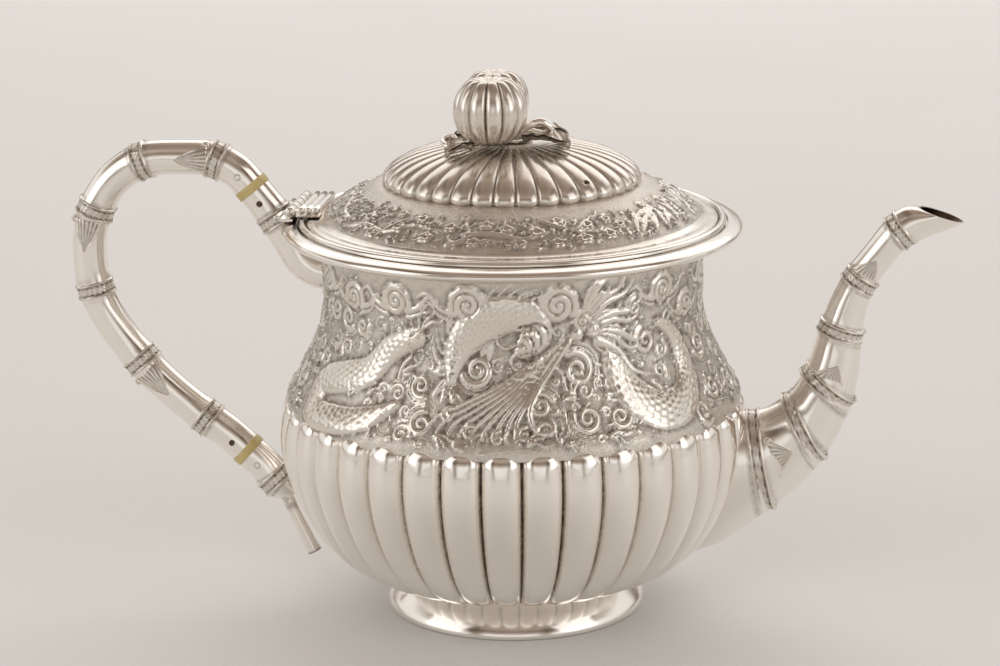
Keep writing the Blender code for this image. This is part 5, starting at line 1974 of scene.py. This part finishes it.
@dataclass
class Studio:
    """Pale floor, soft boxes, a room of soft light and the camera."""

    lens: float = 105.7
    eye: Sequence[float] = (0.11841, -0.81666, 0.29678)
    target: Sequence[float] = (-0.00388, 0.0, 0.08047)
    roll: float = -0.65
    sky: Stops = ((0.0, "#A79C92"), (0.08, "#E6E2DE"), (0.34, "#EDEAE6"), (0.46, "#B5A99D"),
                  (0.60, "#7A6B60"), (0.84, "#B0A093"), (1.0, "#897A6D"))
    curtains: Stops = ((0.0, "#FFFFFF"), (0.20, "#FFFFFF"), (0.25, "#A39A92"), (0.29, "#A39A92"),
                       (0.35, "#FFFFFF"), (0.71, "#FFFFFF"), (0.76, "#ACA49D"), (0.79, "#ACA49D"),
                       (0.83, "#FFFFFF"), (1.0, "#FFFFFF"))

    def camera(self) -> None:
        """Set up the camera."""
        data = bpy.data.cameras.new("studio_camera")
        data.lens = self.lens
        data.sensor_width = 36.0
        obj = bpy.data.objects.new("studio_camera", data)
        bpy.context.scene.collection.objects.link(obj)
        look = (Vector(self.target) - Vector(self.eye)).to_track_quat("-Z", "Y").to_matrix().to_4x4()
        roll = Matrix.Rotation(math.radians(self.roll), 4, "Z")
        obj.matrix_world = Matrix.Translation(self.eye) @ look @ roll
        bpy.context.scene.camera = obj

    def floor(self) -> None:
        """Lay the floor."""
        deselect()
        bpy.ops.mesh.primitive_plane_add(size=9.0, location=(0.0, 0.0, -0.0002))
        obj = bpy.context.object
        bpy.ops.object.transform_apply(location=True)
        obj.name = "studio_floor"
        obj.data.materials.append(PaintedBoard().build())

    @staticmethod
    def box_light(name: str, place: Sequence[float], aim: Sequence[float], size: Point, power: float,
                  mirrored: bool = True) -> None:
        """Hang a soft box.

        Args:
            name: Name of the light.
            place: Where it hangs, in metres.
            aim: Where it points, in metres.
            size: Width and height in metres.
            power: Power in watts.
            mirrored: Whether the silver mirrors it. If not, it only lights the floor.
        """
        data = bpy.data.lights.new(name, "AREA")
        data.shape = "RECTANGLE"
        data.size, data.size_y = size
        data.energy = power
        data.color = linear("#FFFEFD")[:3]
        obj = bpy.data.objects.new(name, data)
        obj.visible_glossy = mirrored
        bpy.context.scene.collection.objects.link(obj)
        look = (Vector(aim) - Vector(place)).to_track_quat("-Z", "Y").to_matrix().to_4x4()
        obj.matrix_world = Matrix.Translation(place) @ look

    def room(self) -> None:
        """Hang a room of soft light round the pot: bright at the sides, dim overhead, with dark curtains."""
        world = bpy.data.worlds.new("studio_room")
        bpy.context.scene.world = world
        world.use_nodes = True
        tree = world.node_tree
        tree.nodes.clear()
        way = add_node(tree, "ShaderNodeTexCoord").outputs["Generated"]
        parts = add_node(tree, "ShaderNodeSeparateXYZ", {0: way})
        leaned = add_node(tree, "ShaderNodeMath", {0: parts.outputs["Y"], 1: -0.12, 2: parts.outputs["Z"]},
                          operation="MULTIPLY_ADD")
        across = add_node(tree, "ShaderNodeMapRange", {0: parts.outputs["X"], 1: -1.0, 2: 1.0})
        sky = graded(tree, leaned.outputs[0], self.sky)
        curtains = graded(tree, across.outputs[0], self.curtains)
        shaded = add_node(tree, "ShaderNodeMix", {"Factor": 1.0, "A": sky.outputs["Color"],
                                                  "B": curtains.outputs["Color"]},
                          data_type="RGBA", blend_type="MULTIPLY")
        light = add_node(tree, "ShaderNodeBackground", {"Color": shaded.outputs["Result"], "Strength": 1.03})
        add_node(tree, "ShaderNodeOutputWorld", {"Surface": light.outputs["Background"]})

    def build(self) -> None:
        """Set up the whole studio."""
        self.camera()
        self.floor()
        self.room()
        self.box_light("left_box", (-1.15, -0.70, 0.80), (0, 0, 0.06), (0.95, 1.3), 3.6)
        self.box_light("right_box", (1.20, -0.55, 0.75), (0, 0, 0.06), (0.9, 1.2), 3.2)
        self.box_light("back_box", (0.1, 2.3, 1.9), (0.1, 1.8, 0.0), (4.6, 2.2), 30.0)
        self.box_light("back_fill", (0.1, 2.3, 1.85), (0.1, 1.8, 0.0), (4.6, 2.2), 25.0, mirrored=False)
        self.box_light("front_fill", (0.0, -1.6, 1.7), (0.0, -0.5, 0.0), (1.8, 1.0), 8.0, mirrored=False)
        bpy.context.scene.view_settings.view_transform = "Standard"


def dress_frame() -> None:
    """Give the solids that stay in view the finish of their slot."""
    for name in ("finial_stud", "finial_washer", "finial_nut"):
        FINISHES.apply(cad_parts[name], FINISHES.polished)
        LOG.info("%s keeps its solid", name)


def main() -> None:
    """Build the studio and the pot."""
    logging.basicConfig(level=logging.INFO, format="%(name)s: %(message)s")
    Studio().build()
    for assembly in (Bowl(), Neck(), Foot(), Rim(), Lid(), Finial(), Hinge(), Handle(), Spout()):
        assembly.build()
    dress_frame()


if __name__ == "__main__":
    main()
